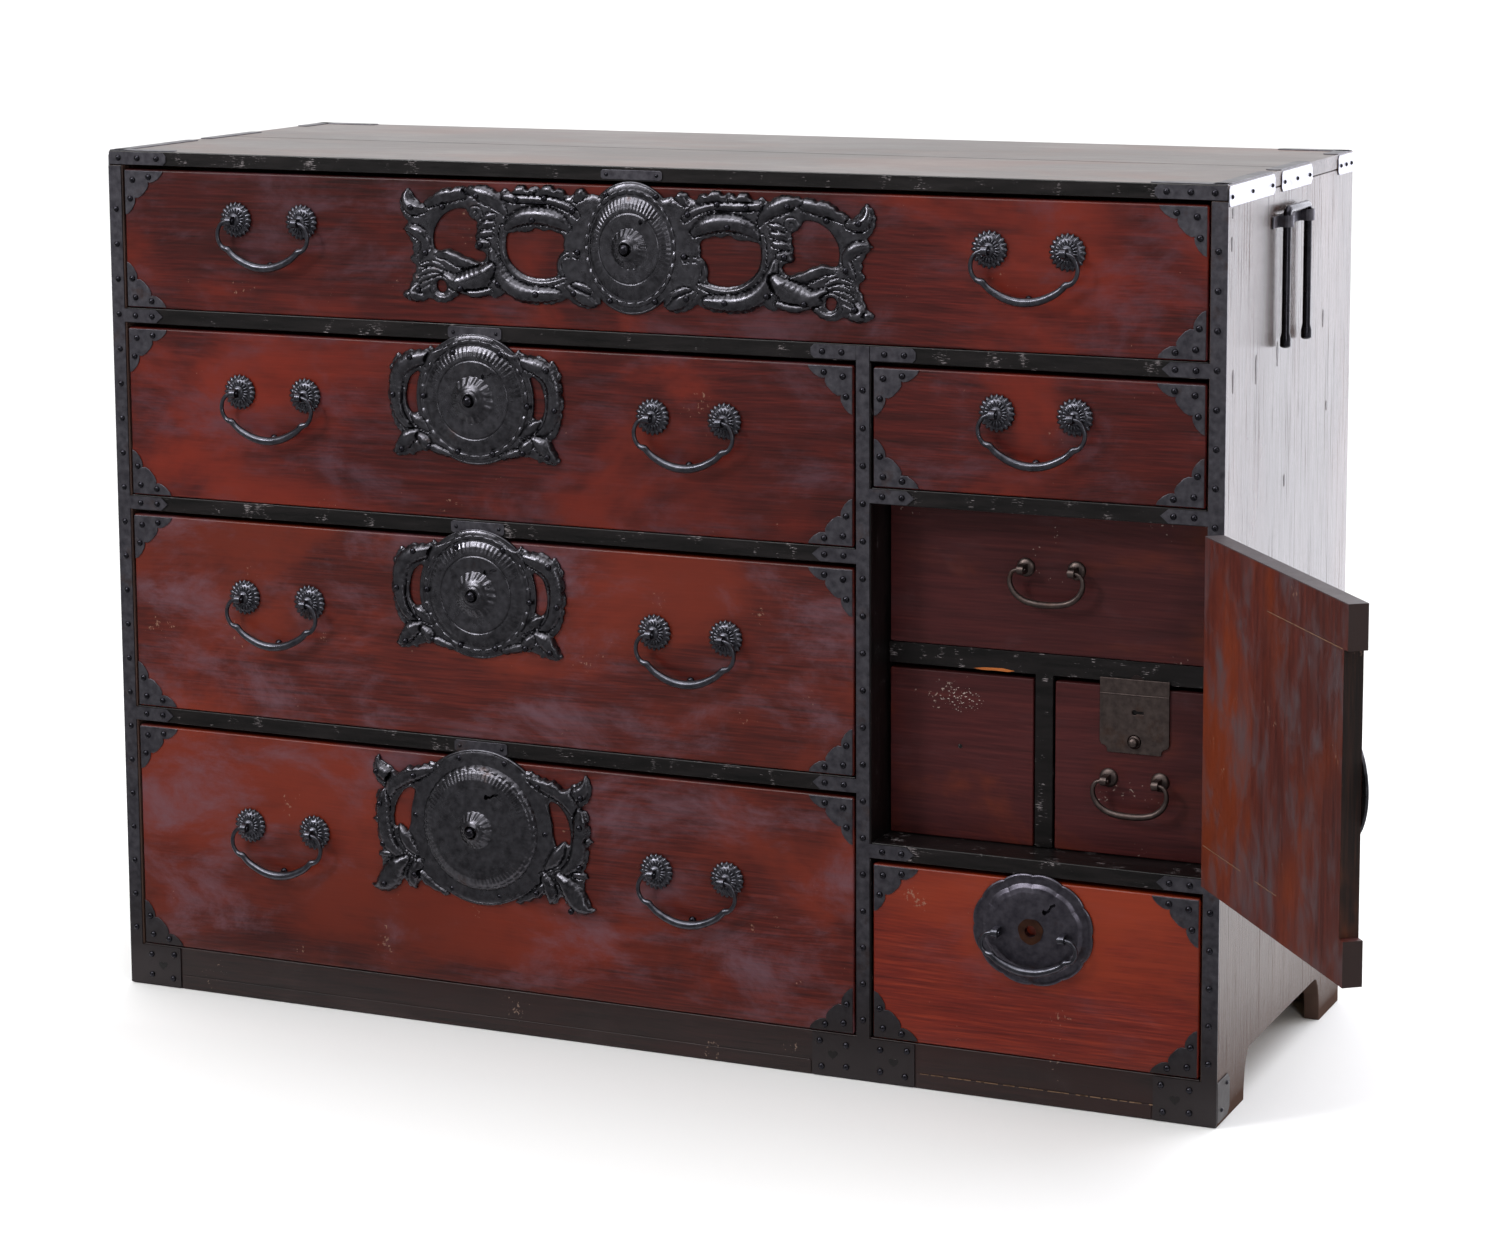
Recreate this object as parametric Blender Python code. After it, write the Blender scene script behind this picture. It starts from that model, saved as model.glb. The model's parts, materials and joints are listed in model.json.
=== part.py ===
"""A Japanese clothes chest of lacquered elm with chased iron fittings.

A wide drawer lies under the top. Below it three deep drawers stand on the left. On the right
are a small drawer, a compartment with a door and three inner drawers, and a lower drawer.

X runs to the right, Y to the back and Z up, in metres. The origin is on the floor, under the
middle of the front plinth. The door stands open, as it is left when the inner drawers are used.
"""

from math import asin, cos, pi, radians, sin

import bmesh
import bpy
from mathutils import Matrix, Vector

for old in list(bpy.data.objects):
    bpy.data.objects.remove(old)

# Case
case_width = 1.200
case_depth = 0.437
case_height = 0.889
side_thickness = 0.016
top_thickness = 0.0145
back_thickness = 0.009
plinth_height = 0.045
plinth_thickness = 0.020
bottom_thickness = 0.012
partition_thickness = 0.016
shelf_thickness = 0.016
seat_gap = 0.0003

# Feet, left by an arch in the lower edge of each side board
front_foot_length = 0.0915
rear_foot_length = 0.075
arch_height = 0.048
arch_corner = 0.018
arch_steps = 5

# Columns and rows, as shares of the space inside the case
left_column_share = 0.7008
bottom_row_share = 0.3103
third_row_share = 0.2681
second_row_share = 0.2316
lower_right_row_share = 0.2836
compartment_share = 0.5253

# Compartment behind the door
inner_recess = 0.045
inner_shelf_share = 0.5098
inner_shelf_thickness = 0.021
inner_partition_thickness = 0.018
inner_left_share = 0.4543

# Drawers
drawer_side_gap = 0.002
drawer_top_gap = 0.0045
drawer_sit_gap = 0.0005
drawer_back_space = 0.018
front_thickness = 0.020
inner_front_thickness = 0.014
drawer_side_wall = 0.010
drawer_back_wall = 0.009
drawer_floor = 0.006
drawer_rim_step = 0.003

# Door
door_gap = 0.002
door_thickness = 0.018
door_cleat_height = 0.040
door_lost_edge = 0.009
door_opening = radians(128)
door_lock_radius = 0.051
door_lock_stand_off = 0.010

# Door hinges
hinge_radius = 0.0035
hinge_pin_radius = 0.0016
hinge_pin_gap = 0.0005
hinge_length = 0.036
hinge_knuckles = 3
hinge_inset = 0.022
hinge_pad_length = 0.045
hinge_pad_height = 0.026
hinge_side_leaf = 0.030
hinge_steps = 12

# Iron straps that bind the frame
iron = 0.0012
rail_arm_reach = 0.046
rail_arm_tip = 0.008
foot_plate_reach = 0.047

# Handles of the drawers: a rose and an eye at each end, and a bail that hangs in the eyes
rose_radius = 0.018
rose_height = 0.007
rose_steps = 12
rose_shares = ((1.0, 0.3), (0.78, 0.85), (0.35, 1.0), (0.0, 0.9))
eye_stand_off = 0.015
eye_radius = 0.005
eye_bore = 0.0028
eye_width = 0.005
eye_root = 0.003
eye_steps = 8
eye_half_spacing = 0.0385
bail_inset_share = 0.1498
bail_tip = 0.0015
bail_shoulder = 0.0015
bail_bulge = 0.0145
bail_drop = 0.0475
bail_end_radius = 0.0020
bail_middle_radius = 0.0033
bail_shares = (
    (0.92, 0.06), (1.0, 0.23), (0.99, 0.42), (0.89, 0.59), (0.74, 0.67), (0.585, 0.80),
    (0.30, 0.95), (0.0, 1.0),
)

# Height of the eyes above the floor of each row, as shares of the row
top_eye_share = 0.6465
second_eye_share = 0.6381
third_eye_share = 0.6038
bottom_eye_share = 0.5876
small_eye_share = 0.6529
lower_right_eye_share = 0.693
inner_upper_eye_share = 0.5845
inner_right_eye_share = 0.4472

# Smaller handles
lower_right_half_spacing = 0.0335
lower_right_bail_drop = 0.036
inner_half_spacing = 0.0255
inner_rose_radius = 0.009
inner_rose_height = 0.003
inner_bail_bulge = 0.0115
inner_bail_drop = 0.033

# Locks, which all have a plate with wings round a raised disc, and a knob in its middle
plate_thickness = 0.002
disc_steps = 28
disc_show = radians(47)
disc_show_steps = 8
window_steps = 14
knob_radius = 0.0062
knob_clearance = 0.0005
knob_travel = 0.006
knob_root = 0.002
knob_end_room = 0.001
knob_proud = 0.008
knob_steps = 14
knob_shares = ((1.0, 0.35), (0.85, 0.75), (0.5, 0.96), (0.0, 1.0))
keyhole_radius = 0.0026
keyhole_slot = 0.0095
keyhole_slot_width = 0.0018
keyhole_tilt = radians(20)

# Lock of the top drawer
top_lock_share = 0.5623
top_plate_half_width = 0.258
top_plate_half_height = 0.062
top_disc_radius = 0.0535
top_disc_height_share = 1.22
top_lock_stand_off = 0.0125
top_key = (0.0136, 0.0262)
top_wing_shares = (
    (0.034, 0.72), (0.072, 0.85), (0.126, 0.71), (0.243, 0.86), (0.36, 0.81), (0.414, 0.76),
    (0.567, 0.88), (0.675, 0.88), (0.784, 0.79), (0.85, 0.55), (0.91, 0.60), (0.986, 0.76),
    (1.0, 0.55), (0.986, 0.34), (0.93, 0.23), (1.0, 0.10), (0.955, -0.09), (0.93, -0.24),
    (0.964, -0.38), (0.937, -0.56), (0.97, -0.83), (1.0, -0.95), (0.94, -1.04),
    (0.886, -0.97), (0.815, -1.06), (0.746, -0.98), (0.716, -0.85), (0.63, -0.98),
    (0.49, -0.91), (0.288, -1.04), (0.158, -0.96), (0.034, -1.06),
)
top_window_shares = ((0.30, -0.25, 0.148, 0.44), (0.70, 0.03, 0.115, 0.40))

# Locks of the second and third drawers
round_plate_half_width = 0.0995
round_plate_half_height = 0.070
round_disc_radius = 0.066
round_lock_stand_off = 0.0115
second_lock_share = 0.6768
third_lock_share = 0.7184
round_key = (0.0145, 0.0245)

# Lock of the bottom drawer
bottom_lock_share = 0.6928
bottom_plate_half_width = 0.127
bottom_plate_half_height = 0.092
bottom_disc_radius = 0.081
bottom_lock_stand_off = 0.021
bottom_key = (0.0125, 0.034)

# Wings of the round locks, from the top of the disc to its bottom, as shares of the width
# beyond the disc and of the half height
round_wing_shares = (
    (0.14, 0.70), (0.34, 0.70), (0.53, 0.65), (0.67, 0.56), (0.81, 0.62), (0.905, 0.76),
    (1.0, 0.61), (0.98, 0.455), (0.90, 0.335), (0.93, 0.215), (0.98, -0.01), (0.91, -0.10),
    (0.88, -0.30), (0.78, -0.515), (0.83, -0.62), (0.81, -0.825), (0.953, -0.99),
    (0.81, -1.03), (0.61, -0.99), (0.485, -0.915), (0.37, -0.75), (0.31, -0.85),
    (0.125, -0.96), (0.07, -0.80),
)
round_window_shares = ((0.56, 0.06, 0.15, 0.25),)

# Raised disc, as shares of its radius and of its height above the plate
coiled_disc_shares = (
    (0.97, 0.0), (0.93, 0.24), (0.87, 0.24), (0.83, 0.10), (0.62, 0.40), (0.57, 0.52),
    (0.40, 0.60), (0.36, 0.78), (0.24, 1.0),
)
domed_disc_shares = (
    (0.81, 0.0), (0.79, 0.18), (0.70, 0.40), (0.62, 0.50), (0.40, 0.58), (0.25, 0.60),
    (0.235, 0.78), (0.16, 1.0),
)
low_disc_shares = ((0.84, 0.0), (0.74, 0.5), (0.52, 0.85), (0.26, 1.0), (0.24, 0.6))

# Lock of the lower right drawer, a scalloped round whose knob is lost
lower_right_lock_share = 0.7103
lower_right_plate_half_width = 0.061
lower_right_plate_half_height = 0.055
lower_right_lock_stand_off = 0.0055
lower_right_lost_knob = 0.006
lower_right_key = (0.0130, 0.0177)
scallop_count = 12
scallop_steps = 5
scallop_share = 0.04

# Lock of the inner right drawer, a plain plate that stands above the drawer's edge
inner_plate_half_width = 0.0345
inner_plate_height = 0.072
inner_plate_lip = 0.0085
inner_plate_clip = 0.007
inner_knob_rise = 0.0115
inner_knob_proud = 0.0072
inner_key_rise = 0.040

# Carrying handles on the sides
carry_middle = 0.206
carry_half_spacing = 0.0365
carry_bar_radius = 0.004
carry_corner = 0.006
carry_corner_steps = 4
carry_top_drop = 0.037
carry_length = 0.132
carry_foot_radius = 0.0054
carry_foot_length = 0.010
carry_stand_off = 0.0078
carry_rest_gap = 0.0009
carry_strap_height = 0.011
carry_strap_thickness = 0.0018
carry_strap_clearance = 0.0008
carry_strap_tab = 0.020
carry_strap_steps = 8

# Cutters reach this far past what they cut
overrun = 0.010

# Places worked out from the sizes above
left = -case_width / 2
right = case_width / 2
front = -plinth_thickness / 2
back = front + case_depth
inner_left = left + side_thickness
inner_right = right - side_thickness
boards_back = back - back_thickness - seat_gap
boards_top = case_height - top_thickness
inner_width = inner_right - inner_left
partition_left = inner_left + left_column_share * inner_width
partition_right = partition_left + partition_thickness
bail_inset = bail_inset_share * inner_width
row_space = boards_top - plinth_height - 3 * shelf_thickness
left_lower_shelf = plinth_height + bottom_row_share * row_space
third_floor = left_lower_shelf + shelf_thickness
left_upper_shelf = third_floor + third_row_share * row_space
second_floor = left_upper_shelf + shelf_thickness
upper_shelf = second_floor + second_row_share * row_space
top_floor = upper_shelf + shelf_thickness
right_space = upper_shelf - plinth_height - 2 * shelf_thickness
right_lower_shelf = plinth_height + lower_right_row_share * right_space
compartment_floor = right_lower_shelf + shelf_thickness
right_upper_shelf = compartment_floor + compartment_share * right_space
small_floor = right_upper_shelf + shelf_thickness
inner_plane = front + inner_recess
inner_shelf = compartment_floor + inner_shelf_share * (right_upper_shelf - compartment_floor)
inner_upper_floor = inner_shelf + inner_shelf_thickness
inner_partition = partition_right + inner_left_share * (inner_right - partition_right)
inner_right_wall = inner_partition + inner_partition_thickness
iron_face = front - seat_gap - iron
door_far = partition_right + door_gap
door_near = inner_right - door_gap
door_low = compartment_floor + door_gap
door_high = right_upper_shelf - door_gap
door_leaf_back = iron_face - seat_gap
hinge_axis = Vector((right, door_leaf_back - hinge_radius, 0))
knuckle_length = hinge_length / hinge_knuckles
knob_bore = knob_radius + knob_clearance
knob_depth = knob_root + knob_travel + knob_end_room
carry_top = case_height - carry_top_drop
carry_foot = carry_top - carry_length


def finish(name, colour, roughness, metallic=0.0):
    """A painted, waxed or forged surface, as one Principled shader."""
    material = bpy.data.materials.new(name)
    material.use_nodes = True
    shader = material.node_tree.nodes["Principled BSDF"]
    shader.inputs["Base Color"].default_value = (*colour, 1.0)
    shader.inputs["Roughness"].default_value = roughness
    shader.inputs["Metallic"].default_value = metallic
    return material


top_wood = finish("weathered top board", (0.16, 0.14, 0.13), 0.45)
side_lacquer = finish("glossy brown lacquer", (0.13, 0.06, 0.045), 0.12)
frame_lacquer = finish("black lacquer", (0.018, 0.016, 0.016), 0.30)
plain_wood = finish("plain cedar", (0.38, 0.25, 0.14), 0.75)
front_lacquer = finish("red brown lacquer on elm", (0.16, 0.025, 0.014), 0.30)
inner_lacquer = finish("dark brown lacquer", (0.06, 0.018, 0.013), 0.40)
door_lacquer = finish("worn red brown lacquer", (0.15, 0.04, 0.025), 0.42)
forged_iron = finish("forged iron", (0.045, 0.045, 0.05), 0.42, 0.9)
chased_iron = finish("chased iron", (0.07, 0.07, 0.08), 0.38, 0.9)


def place_object(name, data, origin, parent):
    """Puts an object at the given point of the chest, under its parent if it has one."""
    obj = bpy.data.objects.new(name, data)
    obj.location = Vector(origin) - (parent.location if parent else Vector())
    obj.parent = parent
    bpy.context.scene.collection.objects.link(obj)
    return obj


def put(name, bm, material, origin=(0, 0, 0), parent=None, smooth=False):
    """Makes an object of a mesh that was drawn in place, with its origin at the given point."""
    bmesh.ops.recalc_face_normals(bm, faces=bm.faces)
    bmesh.ops.translate(bm, verts=bm.verts, vec=-Vector(origin))
    mesh = bpy.data.meshes.new(name)
    bm.to_mesh(mesh)
    bm.free()
    if smooth:
        mesh.shade_smooth()
        mesh.set_sharp_from_angle(angle=radians(35))
    mesh.materials.append(material)
    return place_object(name, mesh, origin, parent)


def change(obj, name, bm, operation):
    """Joins a shape to an object, or cuts it out, with a Boolean on a hidden helper."""
    origin = obj.parent.location if obj.parent else (0, 0, 0)
    other = put(name, bm, forged_iron, origin, obj.parent)
    other.hide_render = True
    other.display_type = "WIRE"
    modifier = obj.modifiers.new(name, "BOOLEAN")
    modifier.operation = operation
    modifier.object = other
    modifier.solver = "EXACT"


def on_front(plane):
    """Maps a drawing of the chest's front, with w standing out of the given plane."""
    return lambda u, v, w: Vector((u, plane - w, v))


def on_side(u, v, w):
    """Maps a drawing in depth and height, with w along the chest."""
    return Vector((w, u, v))


def in_plan(u, v, w):
    """Maps a drawing seen from above, with w as the height."""
    return Vector((u, v, w))


def block(bm, low, high):
    """A rectangular board between two corners."""
    low, high = Vector(low), Vector(high)
    size = Matrix.Diagonal((*(high - low), 1))
    bmesh.ops.create_cube(bm, size=1, matrix=Matrix.Translation((low + high) / 2) @ size)


def board(name, low, high, material):
    """A plain board as an object of its own."""
    bm = bmesh.new()
    block(bm, low, high)
    return put(name, bm, material)


def circle(centre, radius, steps, stretch=1.0):
    """Points round a circle, or round an oval that is stretched in height."""
    turns = [2 * pi * i / steps for i in range(steps)]
    return [(centre[0] + radius * cos(a), centre[1] + radius * stretch * sin(a)) for a in turns]


def rim(bm, points, place, w):
    """A closed loop of new vertices, and the edges between them."""
    verts = [bm.verts.new(place(u, v, w)) for u, v in points]
    return verts, [bm.edges.new(pair) for pair in zip(verts, verts[1:] + verts[:1])]


def wall(bm, first, second):
    """Faces between two loops of as many vertices."""
    for a, b, c, d in zip(first, first[1:] + first[:1], second[1:] + second[:1], second):
        bm.faces.new((a, b, c, d))


def cone(bm, loop, point):
    """Faces from a loop of vertices to one point."""
    for a, b in zip(loop, loop[1:] + loop[:1]):
        bm.faces.new((a, b, point))


def prism(bm, loops, place, low, high):
    """A flat plate. The first loop is its outline and the others are its openings."""
    lower_edges, upper_edges = [], []
    for points in loops:
        lower, edges = rim(bm, points, place, low)
        lower_edges += edges
        upper, edges = rim(bm, points, place, high)
        upper_edges += edges
        wall(bm, lower, upper)
    for edges in (lower_edges, upper_edges):
        bmesh.ops.triangle_fill(bm, edges=edges, use_beauty=True)


def lathe(bm, profile, centre, place, steps):
    """A turned shape from a profile of radius and height, closed by a radius of zero."""
    rings = []
    for radius, height in profile:
        points = circle(centre, radius, steps) if radius else [centre]
        rings.append([bm.verts.new(place(u, v, height)) for u, v in points])
    for first, second in zip(rings, rings[1:]):
        if len(first) == 1:
            cone(bm, second, first[0])
        elif len(second) == 1:
            cone(bm, first, second[0])
        else:
            wall(bm, first, second)


def tray(bm, low, high, front_wall):
    """An open box with a floor, two sides, a back and a front wall of the given thickness."""
    inner_low = (low[0] + drawer_side_wall, low[1] + front_wall)
    inner_high = (high[0] - drawer_side_wall, high[1] - drawer_back_wall)
    loops = []
    for (x, y), (far_x, far_y), z in (
        (low[:2], high[:2], low[2]),
        (low[:2], high[:2], high[2]),
        (inner_low, inner_high, high[2]),
        (inner_low, inner_high, low[2] + drawer_floor),
    ):
        corners = [(x, y), (far_x, y), (far_x, far_y), (x, far_y)]
        loops.append([bm.verts.new((u, v, z)) for u, v in corners])
    for first, second in zip(loops, loops[1:]):
        wall(bm, first, second)
    bm.faces.new(loops[0])
    bm.faces.new(loops[-1])


def bar(name, points, radii, bevel_steps, origin, parent=None):
    """A forged bar along a path, as a curve with a bevel and a radius at each point."""
    curve = bpy.data.curves.new(name, "CURVE")
    curve.dimensions = "3D"
    curve.bevel_depth = max(radii)
    curve.bevel_resolution = bevel_steps
    curve.use_fill_caps = True
    spline = curve.splines.new("POLY")
    spline.points.add(len(points) - 1)
    for target, point, radius in zip(spline.points, points, radii):
        target.co = (*(point - Vector(origin)), 1)
        target.radius = radius / curve.bevel_depth
    curve.materials.append(forged_iron)
    return place_object(name, curve, origin, parent)


def side_board(name, low_x, high_x):
    """A side with an arch in its lower edge, so that the chest stands on four feet."""
    turns = [pi / 2 * i / arch_steps for i in range(arch_steps + 1)]
    bend = [(arch_corner * (1 - cos(a)), arch_height * sin(a)) for a in turns]
    rising = [(front + front_foot_length + u, v) for u, v in bend]
    falling = [(back - rear_foot_length - u, v) for u, v in reversed(bend)]
    top = boards_top - seat_gap
    outline = [(front, 0), *rising, *falling, (back, 0), (back, top), (front, top)]
    bm = bmesh.new()
    prism(bm, [outline], on_side, low_x, high_x)
    put(name, bm, side_lacquer)


def shelf(name, low_x, high_x, z):
    """A board that carries drawers, with its rail, between two uprights."""
    low = (low_x + seat_gap, front, z)
    high = (high_x - seat_gap, boards_back, z + shelf_thickness)
    board(name, low, high, frame_lacquer)


def carcass():
    """The boards of the case."""
    board("top_board", (left, front, boards_top), (right, back, case_height), top_wood)
    side_board("left_side_board", left, inner_left)
    side_board("right_side_board", inner_right, right)
    low_x, high_x = inner_left + seat_gap, inner_right - seat_gap
    back_low = (low_x, back - back_thickness, 0)
    board("back_panel", back_low, (high_x, back, boards_top - seat_gap), plain_wood)
    plinth_back = front + plinth_thickness
    board("plinth", (low_x, front, 0), (high_x, plinth_back, plinth_height), frame_lacquer)
    bottom_low = (low_x, plinth_back + seat_gap, plinth_height - bottom_thickness)
    board("bottom_board", bottom_low, (high_x, boards_back, plinth_height), plain_wood)
    partition_low = (partition_left, front, plinth_height + seat_gap)
    partition_high = (partition_right, boards_back, upper_shelf - seat_gap)
    board("centre_partition", partition_low, partition_high, frame_lacquer)
    shelf("upper_shelf", inner_left, inner_right, upper_shelf)
    shelf("left_shelf_upper", inner_left, partition_left, left_upper_shelf)
    shelf("left_shelf_lower", inner_left, partition_left, left_lower_shelf)
    shelf("right_shelf_upper", partition_right, inner_right, right_upper_shelf)
    shelf("right_shelf_lower", partition_right, inner_right, right_lower_shelf)


def inner_divider():
    """The compartment's shelf and the upright below it, slotted together."""
    low_x, high_x = partition_right + seat_gap, inner_right - seat_gap
    foot = compartment_floor + seat_gap
    outline = [
        (low_x, inner_shelf), (inner_partition, inner_shelf), (inner_partition, foot),
        (inner_right_wall, foot), (inner_right_wall, inner_shelf), (high_x, inner_shelf),
        (high_x, inner_upper_floor), (low_x, inner_upper_floor),
    ]
    bm = bmesh.new()
    prism(bm, [outline], on_front(inner_plane), inner_plane - boards_back, 0)
    put("inner_divider", bm, frame_lacquer)


def strap_outline(low_x, high_x, top, arms, foot_sides):
    """A strap up one stile, with an arm along each rail and a wider plate at its foot.

    Each arm is the side that it points to, -1 for left and 1 for right, and its shelf's height.
    """
    edges = {-1: [(low_x, iron)], 1: [(high_x, iron)]}
    plate_top = plinth_height - iron
    for side, x in ((-1, low_x), (1, high_x)):
        if side in foot_sides:
            reach = x + side * foot_plate_reach
            edges[side] = [(reach, iron), (reach, plate_top), (x, plate_top)]
        for height in sorted(height for arm_side, height in arms if arm_side == side):
            low, high = height + iron, height + shelf_thickness - iron
            tip = x + side * rail_arm_reach
            shoulder = tip - side * rail_arm_tip
            edges[side] += [(x, low), (shoulder, low), (tip, (low + high) / 2)]
            edges[side] += [(shoulder, high), (x, high)]
    return [*edges[1], (high_x, top), (low_x, top), *reversed(edges[-1])]


def frame_iron(name, outline):
    """A strap nailed to the frame's front."""
    bm = bmesh.new()
    prism(bm, [outline], on_front(front), seat_gap, seat_gap + iron)
    return put(name, bm, forged_iron)


def frame_irons():
    """Three straps, on the two side stiles and on the partition."""
    top = boards_top - iron
    arms = [(1, left_lower_shelf), (1, left_upper_shelf), (1, upper_shelf)]
    frame_iron("left_frame_iron", strap_outline(left, inner_left - iron, top, arms, (1,)))
    arms = [(-1, left_lower_shelf), (-1, left_upper_shelf)]
    arms += [(1, right_lower_shelf), (1, right_upper_shelf)]
    low_x, high_x = partition_left + iron, partition_right - iron
    centre_top = upper_shelf + shelf_thickness - iron
    frame_iron("centre_frame_iron", strap_outline(low_x, high_x, centre_top, arms, (-1, 1)))
    arms = [(-1, right_lower_shelf), (-1, right_upper_shelf), (-1, upper_shelf)]
    strap_right = right + seat_gap + iron / 2
    outline = strap_outline(inner_right + iron, strap_right, top, arms, (-1,))
    strap = frame_iron("right_frame_iron", outline)
    for number, middle in enumerate(hinge_heights()):
        case_hinge(strap, number, middle)


def hinge_heights():
    """The height of the middle of each hinge."""
    reach = hinge_inset + hinge_length / 2
    return door_low + reach, door_high - reach


def knuckle(bm, radius, low, high):
    """A round length along the hinge's axis."""
    prism(bm, [circle(hinge_axis.xy, radius, hinge_steps)], in_plan, low, high)


def case_hinge(strap, number, middle):
    """The case's half of a hinge: a leaf on the side board, two knuckles and the pin."""
    reach = hinge_length / 2
    inner = knuckle_length / 2 + seat_gap
    back_edge, notch = front + hinge_side_leaf, iron_face + iron / 2
    end, tooth = reach - seat_gap, inner + seat_gap
    outline = [
        (back_edge, -end), (back_edge, end), (hinge_axis.y, end), (hinge_axis.y, tooth),
        (notch, tooth), (notch, -tooth), (hinge_axis.y, -tooth), (hinge_axis.y, -end),
    ]
    outline = [(u, middle + v) for u, v in outline]
    leaf, barrels, pin = bmesh.new(), bmesh.new(), bmesh.new()
    prism(leaf, [outline], on_side, right + seat_gap, right + seat_gap + iron)
    knuckle(barrels, hinge_radius, middle - reach, middle - inner)
    knuckle(barrels, hinge_radius, middle + inner, middle + reach)
    knuckle(pin, hinge_pin_radius, middle - reach + hinge_radius, middle + reach - hinge_radius)
    change(strap, f"case_hinge_{number}_leaf", leaf, "UNION")
    change(strap, f"case_hinge_{number}_barrels", barrels, "UNION")
    change(strap, f"case_hinge_{number}_pin", pin, "UNION")


def door():
    """The door, drawn shut and then swung open about its hinges."""
    hinge = place_object("door_hinge", None, hinge_axis, None)
    hinge.rotation_euler = (0, 0, door_opening)
    step = door_far + door_lost_edge
    cleat_low, cleat_high = door_low + door_cleat_height, door_high - door_cleat_height
    outline = [
        (door_far, door_low), (door_near, door_low), (door_near, door_high),
        (door_far, door_high), (door_far, cleat_high), (step, cleat_high), (step, cleat_low),
        (door_far, cleat_low),
    ]
    bm = bmesh.new()
    prism(bm, [outline], on_front(front), -door_thickness, 0)
    panel = put("door_panel", bm, door_lacquer, hinge_axis, hinge)
    for number, middle in enumerate(hinge_heights()):
        door_leaf(panel, number, middle)
    centre = (door_far + door_lock_radius, (door_low + door_high) / 2)
    dome = disc_profile(door_lock_radius, door_lock_stand_off, 1.0, coiled_disc_shares)
    bm = bmesh.new()
    outline = circle(centre, door_lock_radius, disc_steps)
    relief_plate(bm, outline, [], dome, centre, on_front(front))
    put("door_lock_plate", bm, chased_iron, hinge_axis, hinge, smooth=True)


def door_leaf(panel, number, middle):
    """The door's half of a hinge: a pad let into the front, a leaf and the middle knuckle."""
    reach = knuckle_length / 2
    pad_end = door_near - hinge_pad_length
    leaf_face = door_leaf_back - iron
    pad, leaf, barrel, bore = bmesh.new(), bmesh.new(), bmesh.new(), bmesh.new()
    half_height = hinge_pad_height / 2
    pad_high = (door_near - seat_gap, front + iron, middle + half_height)
    block(pad, (pad_end, leaf_face, middle - half_height), pad_high)
    leaf_high = (right, door_leaf_back, middle + reach)
    block(leaf, (pad_end + iron, leaf_face + seat_gap, middle - reach), leaf_high)
    knuckle(barrel, hinge_radius, middle - reach, middle + reach)
    bore_radius = hinge_pin_radius + hinge_pin_gap
    knuckle(bore, bore_radius, middle - reach - overrun, middle + reach + overrun)
    change(panel, f"door_hinge_{number}_pad", pad, "UNION")
    change(panel, f"door_hinge_{number}_leaf", leaf, "UNION")
    change(panel, f"door_hinge_{number}_barrel", barrel, "UNION")
    change(panel, f"door_hinge_{number}_bore", bore, "DIFFERENCE")


def relief_plate(bm, outline, windows, dome, centre, place, bore=0.0):
    """An iron plate with openings and a raised round middle, which may be bored for a knob.

    The dome lists radius, height above the plate and stretch, from its rim to its crown.
    """
    face = seat_gap + plate_thickness
    lower_edges, upper_edges = [], []
    for points in [outline, *windows]:
        lower, edges = rim(bm, points, place, seat_gap)
        lower_edges += edges
        upper, edges = rim(bm, points, place, face)
        upper_edges += edges
        wall(bm, lower, upper)
    rings = []
    for radius, height, stretch in dome:
        points = circle(centre, radius, disc_steps, stretch)
        rings.append([bm.verts.new(place(u, v, face + height)) for u, v in points])
    upper_edges += [bm.edges.new(pair) for pair in zip(rings[0], rings[0][1:] + rings[0][:1])]
    for first, second in zip(rings, rings[1:]):
        wall(bm, first, second)
    crown = face + dome[-1][1]
    if bore:
        points = circle(centre, bore, disc_steps)
        mouth = [bm.verts.new(place(u, v, crown)) for u, v in points]
        wall(bm, rings[-1], mouth)
        lower, edges = rim(bm, points, place, seat_gap)
        lower_edges += edges
        wall(bm, mouth, lower)
    else:
        cone(bm, rings[-1], bm.verts.new(place(*centre, crown)))
    for edges in (lower_edges, upper_edges):
        bmesh.ops.triangle_fill(bm, edges=edges, use_beauty=True)


def disc_profile(radius, stand_off, stretch, shares):
    """The raised disc's rings. An oval disc becomes rounder towards its middle."""
    return [(radius * u, stand_off * v, 1 + (stretch - 1) * u * u) for u, v in shares]


def winged_outline(centre, half_width, half_height, radius, stretch, shares):
    """The outline of a lock plate: the disc's edge above and below, and a wing on each side."""
    edge = radius * sin(disc_show)
    wing = [(edge + (half_width - edge) * u, half_height * v) for u, v in shares]
    turns = [disc_show * (1 - 2 * i / disc_show_steps) for i in range(disc_show_steps + 1)]
    over = [(radius * sin(a), radius * stretch * cos(a)) for a in turns]
    outline = [*over, *((-u, v) for u, v in wing), *((-u, -v) for u, v in over), *wing[::-1]]
    return [(centre[0] + u, centre[1] + v) for u, v in outline]


def wing_windows(centre, half_width, half_height, radius, shares):
    """Oval openings in both wings, which show the lacquer behind the plate."""
    edge = radius * sin(disc_show)
    span = half_width - edge
    windows = []
    for along, rise, width, height in shares:
        stretch = height * half_height / (width * span)
        for side in (-1, 1):
            middle = (centre[0] + side * (edge + span * along), centre[1] + half_height * rise)
            windows.append(circle(middle, span * width, window_steps, stretch))
    return windows


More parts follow.
